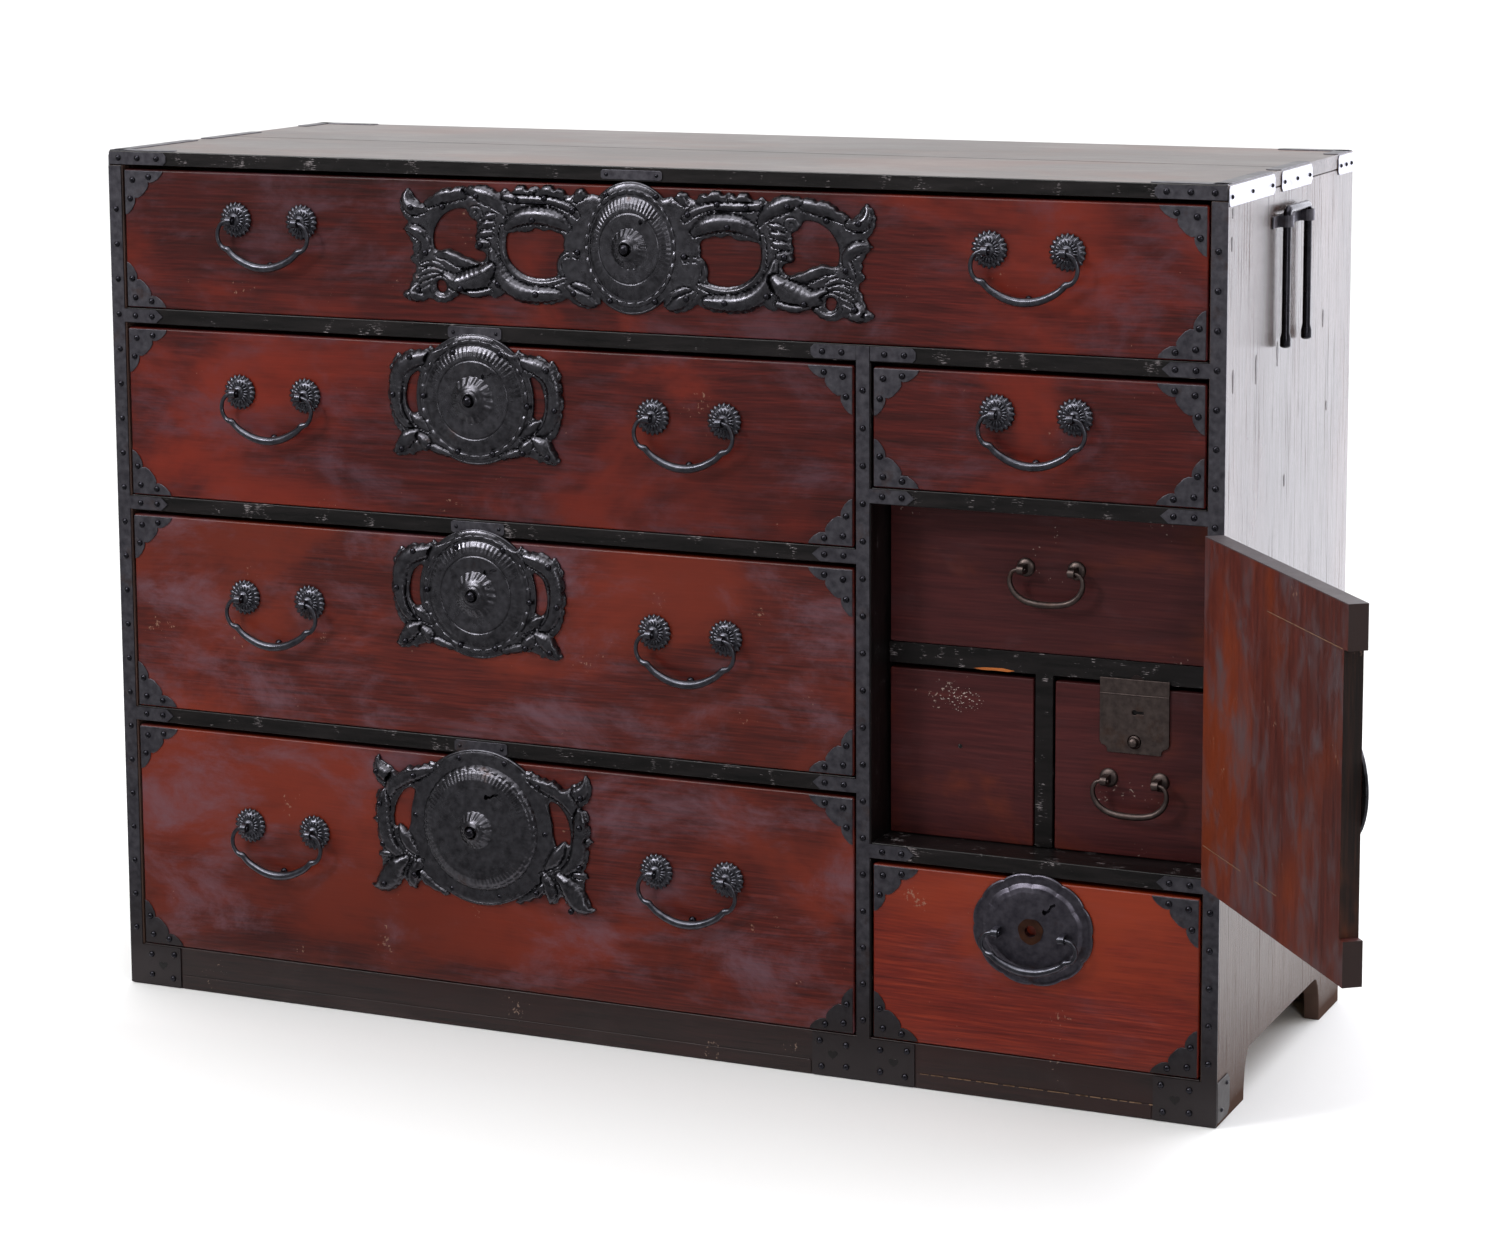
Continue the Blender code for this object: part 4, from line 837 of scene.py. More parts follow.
top_wing = (
    (-43.2, 52.5), (-46.1, 50.1), (-49.1, 55.6), (-53.5, 57.8), (-58.7, 56.7), (-62.1, 52.2),
    (-66.1, 48.8), (-70.1, 50.5), (-72.7, 54.8), (-77.9, 57.3), (-82.3, 54.4), (-83.9, 57.8),
    (-89.8, 60), (-95, 58.8), (-98.8, 54.6), (-103.2, 57.8), (-108.5, 57.6), (-111.8, 53.5),
    (-115.2, 58.1), (-121.2, 59.2), (-125.7, 57), (-128.3, 52), (-132.5, 51), (-136.2, 54),
    (-140.8, 54.5), (-144.2, 49), (-152.1, 54.8), (-162.6, 58.1), (-171.7, 56.2), (-177.8, 56.2),
    (-180.5, 54.2), (-186.9, 55.9), (-193, 54.5), (-196.3, 52.3), (-202.1, 53.8), (-208.2, 52.2),
    (-215.9, 47.8), (-218.5, 44.1), (-223.6, 42.8), (-228.2, 39.9), (-229.7, 35.9),
    (-236.6, 39.6), (-241.2, 45.6), (-246.5, 52.9), (-252.7, 47.2), (-256.6, 40.3),
    (-256.2, 31.4), (-253.6, 24.7), (-249.8, 20), (-246.8, 16.4), (-250.6, 13.8), (-255.8, 7.1),
    (-252.2, 9.7), (-249.1, 5.7), (-245.3, 0.4), (-242.3, -5), (-243.1, -10.5), (-241.1, -14.2),
    (-247, -18.8), (-243.2, -22.8), (-238.6, -26.7), (-238.9, -31.1), (-242.8, -34.8),
    (-243.3, -39.2), (-245.7, -44.8), (-248.8, -51.1), (-255, -53.1), (-254.2, -58.1),
    (-247.3, -61.9), (-238.1, -63.6), (-229.6, -61.8), (-224.3, -58.1), (-221.2, -59),
    (-216.6, -61.9), (-209, -62.9), (-201.3, -61.2), (-193.7, -56.1), (-190.3, -52.5),
    (-184.5, -53.2), (-178.5, -56.1), (-170.9, -57.1), (-163.3, -55.4), (-156.5, -53.4),
    (-149.7, -55.8), (-145.2, -53.9), (-140.6, -50.7), (-136.1, -51.7), (-130.1, -55.2),
    (-126.4, -57.7), (-118.1, -59.4), (-110.7, -59.7), (-104.7, -60.8), (-98.7, -58.9),
    (-92.7, -59.8), (-86.8, -59.3), (-80.8, -56.7), (-74.8, -55.4), (-71.5, -51.9),
    (-67.4, -54.4), (-61.5, -58.8), (-54.1, -61.1), (-46.7, -62.1), (-39.3, -60.4),
    (-33.4, -55.5),
)
top_windows = (
    ((-202.3, 29), (-196.1, 31.9), (-188.5, 33.4), (-181.7, 32.7), (-179.5, 28.1), (-176.1, 23.5),
     (-171.2, 21.2), (-168.4, 19.4), (-170.7, 15.5), (-169, 11.5), (-172, 6), (-170.5, 0.6),
     (-172.8, -4.9), (-169.8, -8.2), (-163, -8.8), (-159.3, -12.5), (-161.3, -17.3),
     (-164.3, -19.7), (-170.7, -19.5), (-176.4, -16.2), (-183.5, -15.1), (-190.3, -11),
     (-196.4, -9.9), (-200.2, -7.4), (-205.6, -8.3), (-212.4, -10.2), (-217, -9), (-218.7, -4),
     (-219.2, 2.8), (-217.7, 11), (-213.8, 18), (-208.4, 24.7)),
    ((-135.8, 9.8), (-137.3, 4.6), (-137.9, -3.5), (-136.6, -11.6), (-132.6, -19.5),
     (-125.5, -26), (-118, -30.4), (-109, -32.8), (-100, -33.6), (-91.1, -33.2), (-82.9, -31.1),
     (-80.3, -28.1), (-81.8, -21.4), (-80.9, -14.6), (-77.8, -9.1), (-73.1, -5.2), (-74.2, 0.4),
     (-72.7, 6.5), (-76, 11.1), (-82.6, 12.8), (-89.3, 15), (-95.3, 13), (-101.3, 15.5),
     (-106, 16), (-110.2, 12.4), (-116.2, 11.1), (-123, 12.2), (-129.7, 10.6)),
    ((-216.2, -42.8), (-212.6, -39.5), (-208.1, -39.7), (-205, -43), (-204.3, -47.7),
     (-207.1, -51.9), (-212, -52.1), (-215.5, -48.2)),
)
top_strokes = (
    ((-225.9, 34.5, 3.1), (-219, 40.2, 5.3), (-208.3, 44.7, 7), (-196, 47.8, 7.2),
     (-183.9, 49, 6.1)),
    ((-180.1, 51.1, 2.8), (-171.7, 51.4, 5.6), (-160.4, 47.7, 7.8), (-149.1, 42.7, 7),
     (-140.9, 35.6, 5), (-137.1, 29, 2.2)),
    ((-132.5, 47.4, 3.1), (-123.5, 52.4, 5.8), (-113, 52.1, 5.6), (-104, 50.4, 3.9)),
    ((-101.1, 49.8, 3.1), (-92.1, 54.2, 5.8), (-81.7, 52.5, 5.8), (-72.8, 49.5, 3.6)),
    ((-137, 45.9, 3.6), (-123.5, 44.3, 3.6), (-105.6, 44.3, 3.3), (-87.7, 44.2, 3.3),
     (-68.4, 38.9, 3.6), (-58.1, 30.6, 2.8)),
    ((-58.7, 45.9, 3.1), (-53.5, 52.1, 6.1), (-47.6, 51.7, 2.8)),
    ((-246.5, 50.9, 0.8), (-249.7, 41.2, 4.2), (-245.1, 32.5, 6.4), (-236.7, 30.7, 6.1),
     (-229, 31, 3.3)),
    ((-135.7, 15.5, 3.1), (-128.2, 22.5, 6.1), (-116.1, 27.7, 7.5), (-102.7, 28.9, 7.5),
     (-89.2, 28, 8.1), (-77.4, 23.8, 7.5), (-68.5, 18.1, 4.2)),
    ((-253, 11, 1.4), (-243.7, 10.7, 4.4), (-235.3, 8.3, 6.1), (-228.4, 2.4, 5.6),
     (-226.2, -4.3, 4.2), (-230.1, -11.3, 3.9), (-233.2, -18.3, 2.5)),
    ((-162.1, 23.3, 2.2), (-156, 26.2, 3.6), (-149.2, 27.2, 2.2)),
    ((-165.9, 14.4, 2.2), (-159.1, 18, 3.9), (-150.8, 19, 2.5)),
    ((-168.2, 6.1, 2.2), (-161.4, 9.1, 3.9), (-152.3, 9.5, 2.5)),
    ((-169.8, -4.1, 3.1), (-164.5, -1.2, 4.7), (-156.9, -1.6, 3.1)),
    ((-176.1, 26.8, 1.9), (-175.2, 31.6, 1.9), (-170.3, 34.2, 1.9), (-165.5, 32.3, 1.9),
     (-164.6, 27.3, 1.9), (-168.9, 23.5, 1.9)),
    ((-140.2, 16.7, 1.9), (-142.1, 4.4, 2.4), (-141.6, -9.1, 2.4), (-137.7, -19.7, 2.4),
     (-128.5, -29.5, 2.4), (-116.5, -36.4, 2.4), (-101.6, -39.1, 2.4), (-86.6, -37.7, 2.4),
     (-73.2, -33.1, 1.9)),
    ((-152.5, -9.5, 3.6), (-149.5, -20.2, 5.6), (-143.5, -32.1, 7), (-134.6, -41.2, 7.8),
     (-122.6, -47.4, 8.3), (-109.1, -49.5, 7.5), (-94.2, -49.5, 7), (-80.7, -48.9, 5)),
    ((-213.2, -14, 2.5), (-204.1, -12.3, 5), (-194.9, -15.3, 6.4), (-184.3, -20.3, 6.1),
     (-173.7, -23.3, 4.2), (-163.1, -23.5, 1.9)),
    ((-152.5, -24.4, 5.6), (-160.1, -31.5, 9.2), (-170.8, -38.1, 11.7), (-182.9, -42, 11.1),
     (-193.6, -41.8, 7.8), (-202.7, -36.1, 5), (-208.8, -32.2, 3.1)),
    ((-187.6, -49.7, 1.9), (-178.5, -52, 3.6), (-166.3, -51.4, 3.9), (-155.7, -48.2, 3.1)),
    ((-208.8, -30.9, 1.7), (-217.9, -28.5, 2.5), (-228.7, -31.7, 1.7), (-235.6, -36.1, 0.8)),
    ((-213.4, -33.8, 1.7), (-222.6, -35.6, 2.5), (-231.8, -40, 1.7), (-238.7, -44.5, 0.8)),
    ((-218, -39.4, 1.7), (-225.7, -42.5, 2.2), (-233.4, -46.9, 1.7)),
    ((-207.2, -27.4, 1.7), (-214.8, -23, 2.5), (-225.5, -23.4, 1.7), (-234, -26.5, 0.8)),
    ((-202, -40.8, 1.4), (-208.8, -36.3, 1.7), (-216.5, -38, 1.7), (-220.8, -44.3, 1.9),
     (-219.6, -52.5, 2.2), (-212.8, -57.6, 2.5), (-202.8, -57.2, 2.5), (-195.2, -51.4, 2.2)),
    ((-237.2, -45.8, 2.2), (-243.4, -52.2, 4.7), (-239.6, -56.8, 5.6), (-231.9, -57.1, 3.1)),
    ((-253.4, -54, 1.1), (-247.3, -55.8, 2.8)),
    ((-74.7, -29.2, 1.8), (-78.8, -22.6, 1.8), (-77.9, -14.5, 1.8), (-71.6, -8.9, 1.8),
     (-64.2, -7.5, 1.8), (-58.3, -9.7, 1.8)),
    ((-68.8, -41, 2.2), (-60.7, -44, 5.6), (-52.6, -49.7, 7.2), (-45.2, -54.7, 5),
     (-37.8, -57, 1.9)),
    ((-62.9, -38, 1.7), (-54, -39, 3.3), (-45.1, -44, 2.5)),
)
bottom_wing = (
    (-48.2, 62.7), (-53.9, 63.4), (-58.1, 64.5), (-60.3, 60.5), (-65.3, 61.1), (-67.7, 57.8),
    (-72.4, 59.1), (-76, 56.3), (-79.5, 56.8), (-83.5, 57.6), (-87.4, 53.5), (-91, 51.3),
    (-95.3, 47.8), (-99.6, 50.5), (-103.2, 54), (-107.4, 56.1), (-111.7, 57.6), (-115.3, 61.1),
    (-118.4, 66.6), (-122.5, 61.1), (-125.1, 54.4), (-124.8, 47.5), (-122.6, 40.6),
    (-119.1, 35.2), (-114.1, 32.2), (-111.9, 30.7), (-115.5, 29.8), (-120.6, 26.8),
    (-122.5, 21.5), (-121.4, 16.5), (-119.7, 14.1), (-123.1, 12.4), (-123.6, 7.3), (-122.2, 2.3),
    (-123.7, -1), (-128, -4), (-123.7, -4.5), (-119.9, -9), (-121.6, -15.5), (-120.2, -23.1),
    (-117.4, -30.5), (-115, -34.1), (-118.9, -36.4), (-121.5, -42.2), (-117.5, -41.4),
    (-116.1, -45.7), (-115.4, -50.7), (-116.9, -56), (-120.5, -61.5), (-122.7, -66.9),
    (-124.2, -70.6), (-130.7, -72.8), (-126.4, -74.9), (-122.1, -77.7), (-114.9, -79.5),
    (-107.7, -78.7), (-100.5, -74.7), (-95.5, -70.4), (-92.1, -64.9), (-90.7, -62.2),
    (-87.6, -65.7), (-84.7, -70.5), (-80.5, -71.9), (-75.5, -72.7), (-74, -67.4), (-71.8, -62.7),
    (-67.6, -64.8), (-64.8, -68.4), (-59.1, -67.8), (-56.3, -72.5), (-50.6, -71.9),
    (-46.3, -74.7), (-42.1, -76.7), (-37.1, -74.3),
)
bottom_windows = (
    ((-81.1, 34.4), (-88.3, 31.2), (-94.1, 24.2), (-98.4, 16.1), (-100.6, 7), (-101.4, -2),
     (-100, -8.9), (-96.9, -7.9), (-95, -5.2), (-91.4, -6.1), (-87.2, -9.5), (-84.8, -12.5),
     (-82.9, -7.2), (-81.1, 0), (-81, 8.9), (-79.5, 16.7), (-77.5, 24.6), (-76.2, 29.8),
     (-77.6, 33.2)),
)
bottom_strokes = (
    ((-118.4, 64, 0.8), (-118.5, 55.1, 3.9), (-114, 47.8, 6.4), (-106.1, 43.5, 6.7),
     (-98.9, 42.9, 3.3)),
    ((-104.8, 27, 4.7), (-100.4, 37, 7.8), (-89.6, 45.7, 8.6), (-76.7, 50.1, 8.1),
     (-63.9, 53.2, 5.6), (-55.4, 55.3, 2.2)),
    ((-112, 27.6, 3.6), (-112.8, 17.3, 7), (-112.8, 5.8, 7.2), (-111.5, -6.9, 7.2),
     (-109.4, -19.4, 7.5), (-103.8, -30.4, 6.7), (-94.5, -37.1, 4.2)),
    ((-98.6, -8.1, 1.4), (-98.7, -18.3, 1.7), (-94.4, -26.8, 1.7), (-85.9, -33.6, 1.7),
     (-75.9, -37.7, 1.7), (-67.4, -40.6, 1.1)),
    ((-93.6, -6.3, 0.8), (-91.5, -12.5, 4.2), (-86.5, -19.7, 6.4), (-80.9, -28, 6.1),
     (-74.5, -33.7, 2.8)),
    ((-125.9, -3.8, 0.8), (-120.1, -2.6, 2.2)),
    ((-119.7, -39.7, 1.1), (-113.2, -38.3, 3.3), (-106, -38.2, 2.5)),
    ((-87.4, -42.1, 4.2), (-96.7, -48.8, 7.8), (-104, -58.5, 10.3), (-111.2, -68.8, 9.5),
     (-121.3, -73.8, 3.6), (-127.8, -73.2, 0.8)),
    ((-72.4, -43.7, 4.2), (-76, -51.7, 7.2), (-79.7, -61, 6.1), (-77.6, -68.5, 3.3),
     (-75.9, -71.5, 0.8)),
    ((-68.9, -54.8, 3.6), (-63.3, -61.8, 5), (-54.8, -67.3, 3.6), (-43.5, -72.4, 2.5)),
)
middle_wing = (
    (-29.8, 55.9), (-36.9, 51.2), (-43.3, 48.6), (-47.7, 50.5), (-49.9, 52.6), (-52.2, 49.9),
    (-57.3, 47.4), (-62.4, 48.2), (-66.5, 46.9), (-71.4, 47.8), (-75.9, 46.4), (-80.4, 43.3),
    (-82.3, 41), (-84.2, 42.6), (-87.8, 43.2), (-91.3, 38.2), (-93.3, 33.5), (-95.9, 31.1),
    (-97.2, 26.5), (-95.6, 23.1), (-97.5, 19.6), (-98.3, 15), (-97.3, 11), (-98, 5.9),
    (-99.6, 1.2), (-98.7, -3.3), (-96.7, -7.8), (-97.5, -12.4), (-95.6, -16.9), (-95, -22.6),
    (-92.5, -27), (-90.6, -32.6), (-86.1, -35.8), (-84.8, -38.6), (-87.4, -43.9), (-90.7, -48.6),
    (-92.6, -53.3), (-95, -57.1), (-92.1, -60.7), (-86.3, -62.1), (-79.8, -61.1), (-74.7, -59.1),
    (-70.6, -60.9), (-68, -57.3), (-61.8, -55.4), (-55.5, -55.6), (-51.4, -54.6), (-46.5, -57.4),
    (-42.7, -58.3), (-37.6, -58), (-34.4, -60.3), (-28.7, -59.9), (-24.9, -61.2),
)
middle_windows = (
    ((-68.7, 23.4), (-73.1, 19.8), (-75.5, 13.9), (-77.3, 7), (-78.1, 0.1), (-77.5, -7.9),
     (-75.4, -13.4), (-71.8, -17.2), (-66.7, -16.4), (-62.8, -13.6), (-63.8, -7.1), (-64.5, 0.8),
     (-64.7, 7.7), (-63.9, 14.6), (-62.6, 20.9), (-61.9, 24.7), (-65.1, 25.7)),
)
middle_strokes = (
    ((-45.8, 42.6, 3.5), (-57.3, 40, 6.2), (-70.2, 37, 7.7), (-81.1, 30.8, 7.7), (-87.6, 21.3, 7),
     (-89.4, 8.6, 6.7), (-88.7, -3.9, 6.5), (-85.9, -15.2, 6.2), (-79.6, -25.1, 5.7),
     (-70.6, -31.4, 4)),
    ((-79.4, 6.9, 1.2), (-80.1, -4.6, 1.5), (-77.6, -17, 1.5), (-71.9, -25.8, 1.5),
     (-61.7, -33.2, 1.5), (-52.1, -37.2, 1)),
    ((-71.2, -18.9, 2.5), (-65.5, -23.2, 5), (-57.8, -29.5, 4.2), (-52.7, -33.8, 1.7)),
    ((-36.9, 48.4, 3.7), (-43.3, 44.1, 5.5), (-49.7, 38.1, 4.5), (-52.3, 31.1, 2)),
    ((-66.8, -37.5, 5), (-75.8, -41.4, 7.5), (-83, -49.3, 7), (-88.8, -56.5, 3.7),
     (-92, -58.4, 1.2)),
    ((-61.7, -40.6, 4.2), (-55.4, -46.5, 6.2), (-50.3, -51.9, 3.7)),
    ((-47.8, -50.6, 3.7), (-37.6, -54.5, 3.7), (-28.7, -57.4, 2.5)),
)
print("strokes", len(top_strokes), len(middle_strokes), len(bottom_strokes))

# %% Cut and raise the wings


edge_step = 0.0011
snap_share = 0.55
rows_at_once = 4096


def dense(points, step):
    """Adds points along a closed outline so that none are further apart than a step."""
    out = []
    for a, b in zip(points, points[1:] + points[:1]):
        a, b = np.array(a), np.array(b)
        parts = max(1, int(np.ceil(np.linalg.norm(b - a) / step)))
        out += [tuple(a + (b - a) * i / parts) for i in range(parts)]
    return out


def rounded(points, rounds=2):
    """Cuts the corners of a closed outline."""
    for _ in range(rounds):
        cut = []
        for a, b in zip(points, points[1:] + points[:1]):
            a, b = np.array(a), np.array(b)
            cut += [tuple(a * 0.78 + b * 0.22), tuple(a * 0.22 + b * 0.78)]
        points = cut
    return points


def inside(points, outline):
    """Which of the points lie inside a closed outline."""
    x, y = points[:, 0], points[:, 1]
    hit = np.zeros(len(points), bool)
    for (ax, ay), (bx, by) in zip(outline, outline[1:] + outline[:1]):
        crosses = (ay > y) != (by > y)
        with np.errstate(divide="ignore", invalid="ignore"):
            at = (bx - ax) * (y - ay) / (by - ay) + ax
        hit ^= crosses & (x < at)
    return hit


def nearest(points, line):
    """Distance of each point to a polyline, with the length along it there, and its last value."""
    best = np.full(len(points), 1e9)
    along, value = np.zeros(len(points)), np.zeros(len(points))
    run = 0.0
    for a, b in zip(line, line[1:]):
        a, b = np.array(a), np.array(b)
        span = b[:2] - a[:2]
        length = np.linalg.norm(span)
        t = np.clip(((points - a[:2]) @ span) / max(length ** 2, 1e-12), 0, 1)
        d = np.linalg.norm(points - a[:2] - t[:, None] * span, axis=1)
        closer = d < best
        best = np.where(closer, d, best)
        along = np.where(closer, run + t * length, along)
        value = np.where(closer, a[2] + (b[2] - a[2]) * t if len(a) > 2 else 0, value)
        run += length
    return best, along, value


def wing_height(points, edge, strokes, full):
    """Height of a wing's face above the board, in metres. Later strokes lie over earlier ones."""
    u, v = points[:, 0] / MM, points[:, 1] / MM
    tooled = 0.00010 * np.sin(u * 2.1 + 1.5 * np.sin(v * 0.35)) * np.sin(v * 1.7 + u * 0.4)
    puffed = np.sqrt(1 - (1 - np.clip(edge / 0.0105, 0, 1)) ** 2)
    h = 0.0014 + tooled + 0.0034 * puffed
    for stroke in strokes:
        line = [tuple(p) for p in smooth_path([np.array(p) * MM for p in stroke])]
        d, s, width = nearest(points, line)
        width = np.maximum(width * 1.2, 1e-5)
        scallop = 0.90 + 0.10 * np.abs(np.sin(pi * s / 0.0066)) ** 0.6
        t = d / (width * scallop)
        tall = np.minimum(full, width * 0.70)
        ribs = 0.00020 * np.sin(2 * pi * s / 0.0029 + 6 * t) * np.clip(t * 1.6 - 0.5, 0, 1)
        ridge = 0.0031 + tall * np.clip(1 - t * t, 0, 1) ** 0.62 + ribs
        groove = np.where(t < 1.0 + 0.0008 / width, 0.0029, 9.0)
        h = np.where(t < 1, np.maximum(ridge, np.minimum(h, 0.0046)), np.minimum(h, groove))
    bead = 0.0021 + 0.0007 * np.clip(1 - ((edge - 0.0009) / 0.0009) ** 2, 0, 1)
    return np.where(edge < 0.0018, np.maximum(bead, h * rise(edge, -0.001, 0.0018)), h)


def add_wings(bm, outline, windows, strokes, full, spacing, place):
    """A closed plate cut to its outline and windows, with a raised face on a fine grid."""
    loops = [np.array(dense(part, edge_step)) for part in (outline, *windows)]
    reach = np.abs(loops[0]).max(axis=0) + spacing
    xs = np.arange(-reach[0], reach[0] + spacing, spacing)
    ys = np.arange(-reach[1] * 1.1, reach[1] * 1.1, spacing)
    shape = (len(xs), len(ys))
    grid = np.stack(np.meshgrid(xs, ys, indexing="ij"), -1).reshape(-1, 2)
    room, where = np.full(len(grid), 9.0), np.zeros_like(grid)
    within = inside(grid, [tuple(p) for p in loops[0]])
    for number, loop in enumerate(loops):
        if number:
            within &= ~inside(grid, [tuple(p) for p in loop])
        for low in range(0, len(grid), rows_at_once):
            rows = slice(low, low + rows_at_once)
            part = grid[rows]
            gap = np.hypot(part[:, :1] - loop[:, 0], part[:, 1:] - loop[:, 1])
            pick = gap.argmin(axis=1)
            least = gap[np.arange(len(part)), pick]
            better = least < room[rows]
            room[rows] = np.where(better, least, room[rows])
            where[rows] = np.where(better[:, None], loop[pick], where[rows])
    snapped = room <= spacing * snap_share
    flat = np.where(snapped[:, None], where, grid)
    used = within | snapped
    edge = np.where(snapped, 0.0, np.where(within, room, -room))
    numbers = np.arange(len(grid)).reshape(shape)
    corners = np.stack([numbers[:-1, :-1], numbers[1:, :-1], numbers[1:, 1:], numbers[:-1, 1:]],
                       -1).reshape(-1, 4)
    ok = used[corners]
    middle = ~snapped[corners].all(axis=1)
    faces = [tuple(c) for c in corners[ok.all(axis=1) & middle]]
    three = (ok.sum(axis=1) == 3) & ((snapped[corners] & ok).sum(axis=1) < 3)
    faces += [tuple(c[o]) for c, o in zip(corners[three], ok[three])]
    picked = sorted({i for f in faces for i in f})
    back = {old: new for new, old in enumerate(picked)}
    flat, edge = flat[picked], edge[picked]
    h = wing_height(flat, edge, strokes, full)
    upper = [bm.verts.new(place(u, v, w)) for (u, v), w in zip(flat, h)]
    lower = [bm.verts.new(place(u, v, SEAT)) for u, v in flat]
    sides = {}
    for f in faces:
        f = [back[i] for i in f]
        bm.faces.new([upper[i] for i in f])
        bm.faces.new([lower[i] for i in reversed(f)])
        for a, b in zip(f, f[1:] + f[:1]):
            sides[(a, b)] = True
    for a, b in sides:
        if (b, a) not in sides:
            bm.faces.new((upper[b], upper[a], lower[a], lower[b]))
    return len(faces)


def ornate(points, period=0.0085, depth=0.0010):
    """Rounds a wing's edge a little, and cuts shallow scallops into it."""
    line = smooth_path([np.array(p) * MM for p in points], 1)
    out, run = [], 0.0
    for a, b in zip(line, line[1:]):
        length = np.linalg.norm(b - a)
        parts = max(1, int(np.ceil(length / 0.0012)))
        normal = np.array((b[1] - a[1], a[0] - b[0])) / max(length, 1e-9)
        for i in range(parts):
            s = run + length * i / parts
            cut = depth * (1 - abs(sin(pi * s / period)) ** 0.7)
            out.append(tuple(a + (b - a) * i / parts - normal * cut))
        run += length
    return out


nails = {}
drawer_nail, plate_nail, frame_nail, side_nail = 0.0042, 0.0034, 0.0033, 0.0022
disc_base, knob_bore, far_from_edge = 0.0026, 0.0067, 0.02


def nail(body, spot, radius, facing=(0, -1, 0)):
    """Notes a nail for a body. They are driven together at the end."""
    nails.setdefault(body, []).append((spot, facing, radius))


def lock_plate(name, body, node, centre, pattern, radius, stretch, show, disc, stand_off, full,
               spacing, keyhole, wing_nails, rim_nails):
    """A whole lock plate: the disc's arcs, a wing on the left, and its mirror on the right."""
    wing, openings, strokes = pattern
    turns = [radians(show) * (1 - i / 12) for i in range(25)]
    over = [(radius * sin(a), radius * stretch * cos(a)) for a in turns]
    left = ornate(wing)
    outline = [*over, *left, *[(u, -v) for u, v in over[::-1]], *[(-u, v) for u, v in left[::-1]]]
    windows = []
    for points in openings:
        cut = [tuple(p) for p in rounded([np.array(p) * MM for p in points], 1)]
        windows += [cut, [(-u, v) for u, v in cut]]
    both = [*strokes, *[[(-u, v, w) for u, v, w in stroke] for stroke in strokes]]
    place = on_front(centre, front)
    bm = bmesh.new()
    faces = add_wings(bm, outline, windows, both, full, spacing, place)
    slot = [((keyhole[0] + u) * MM, (keyhole[1] + v) * MM, half * MM)
            for u, v, half in key_shape]
    add_disc(bm, disc, radius, stand_off, stretch, disc_base, knob_bore, place, keyhole=slot)
    spots = np.array([*wing_nails, *rim_nails]) * MM
    lifts = wing_height(spots, np.full(len(spots), far_from_edge), both, full)
    share = np.hypot(spots[:, 0] / radius, spots[:, 1] / radius / stretch)
    on_disc = disc_base + disc(share, np.arctan2(spots[:, 1], spots[:, 0]), stand_off)
    for (u, v), lift in zip(spots, np.where(share < 1, on_disc, lifts)):
        nail(body, place(u, v, lift + SEAT), plate_nail)
    obj = keep(as_drawn(name, bm), plate_iron, body, node)
    obj.data.set_sharp_from_angle(angle=radians(60))
    return faces


def knob_centre(name):
    """Where the push knob of a lock stands on the front."""
    low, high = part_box(f"{name}_lock_knob")
    return (low.x + high.x) / 2, (low.z + high.z) / 2


def mirrored(spots):
    """The spots and their mirror images on the right."""
    return [*spots, *[(-u, v) for u, v in spots]]


key_shape = ((0, 0, 2.5), (0.8, 0.1, 1.1), (4, 0.4, 0.9), (8, 2.8, 0.9), (12, 3.6, 0.8))
top_nails = mirrored((
    (-241, 32.6), (-207, 34), (-167.5, 46), (-124, 44), (-93, 46), (-62, 35), (-105, 24.4),
    (-57.5, -6), (-164, -2.3), (-226.7, -12.7), (-235.6, -50), (-185.4, -46.5), (-145, -41),
    (-102, -49), (-61, -46.5)))
made = lock_plate("top_lock_chasing", "top_drawer", "top_lock_plate", knob_centre("top"),
                  (top_wing, top_windows, top_strokes), 0.0535, 1.22, 40, coiled_disc, 0.0125,
                  0.0070, 0.0010, (13.6, 26.2), top_nails,
                  ((-26.5, 51.5), (27.5, 51.5), (-22, -52), (26, -51)))
print("top lock wings", made, "faces")

# %% Locks of the lower drawers

middle_nails = ((-70, 40), (-90, 1), (-57, 1), (83, 34), (91.5, -6), (60, -4), (-81.5, -54),
                (-51.5, -50), (55, -51), (83, -53))
middle_rim = ((-22, 47), (30.5, 47.4), (-19, -53.6), (21, -53.6))
bottom_nails = ((-118.7, 48), (-74.3, 48), (67, 49.6), (114.3, 42), (-114, 15), (-74.5, 6),
                (73, 0), (114, 12), (-112, -27.4), (112, -30), (-110.5, -69), (-75, -56),
                (64, -61), (102, -76))
bottom_rim = ((-23.4, 70), (28, 69), (-34, -67), (20.4, -70))
for name, pattern, radius, show, disc, stand_off, keyhole, spots, rim_spots in (
        ("second", (middle_wing, middle_windows, middle_strokes), 0.066, 20, coiled_disc, 0.0115,
         (13, 24), middle_nails, middle_rim),
        ("third", (middle_wing, middle_windows, middle_strokes), 0.066, 20, coiled_disc, 0.0115,
         (12, 23.5), middle_nails, middle_rim),
        ("bottom", (bottom_wing, bottom_windows, bottom_strokes), 0.081, 30, domed_disc, 0.021,
         (12.5, 35), bottom_nails, bottom_rim)):
    made = lock_plate(f"{name}_lock_chasing", f"{name}_drawer", f"{name}_lock_plate",
                      knob_centre(name), pattern, radius, 1.0, show, disc, stand_off, 0.0062,
                      0.0009, keyhole, spots, rim_spots)
    print(name, "lock wings", made, "faces")

# %% [markdown]
# ## Knobs
#
# Pushing the knob in the middle of a disc throws the lock's bolt. It is a short turned pin whose
# rounded tip has been polished by fingers. A turned shape is a profile swept round its axis.

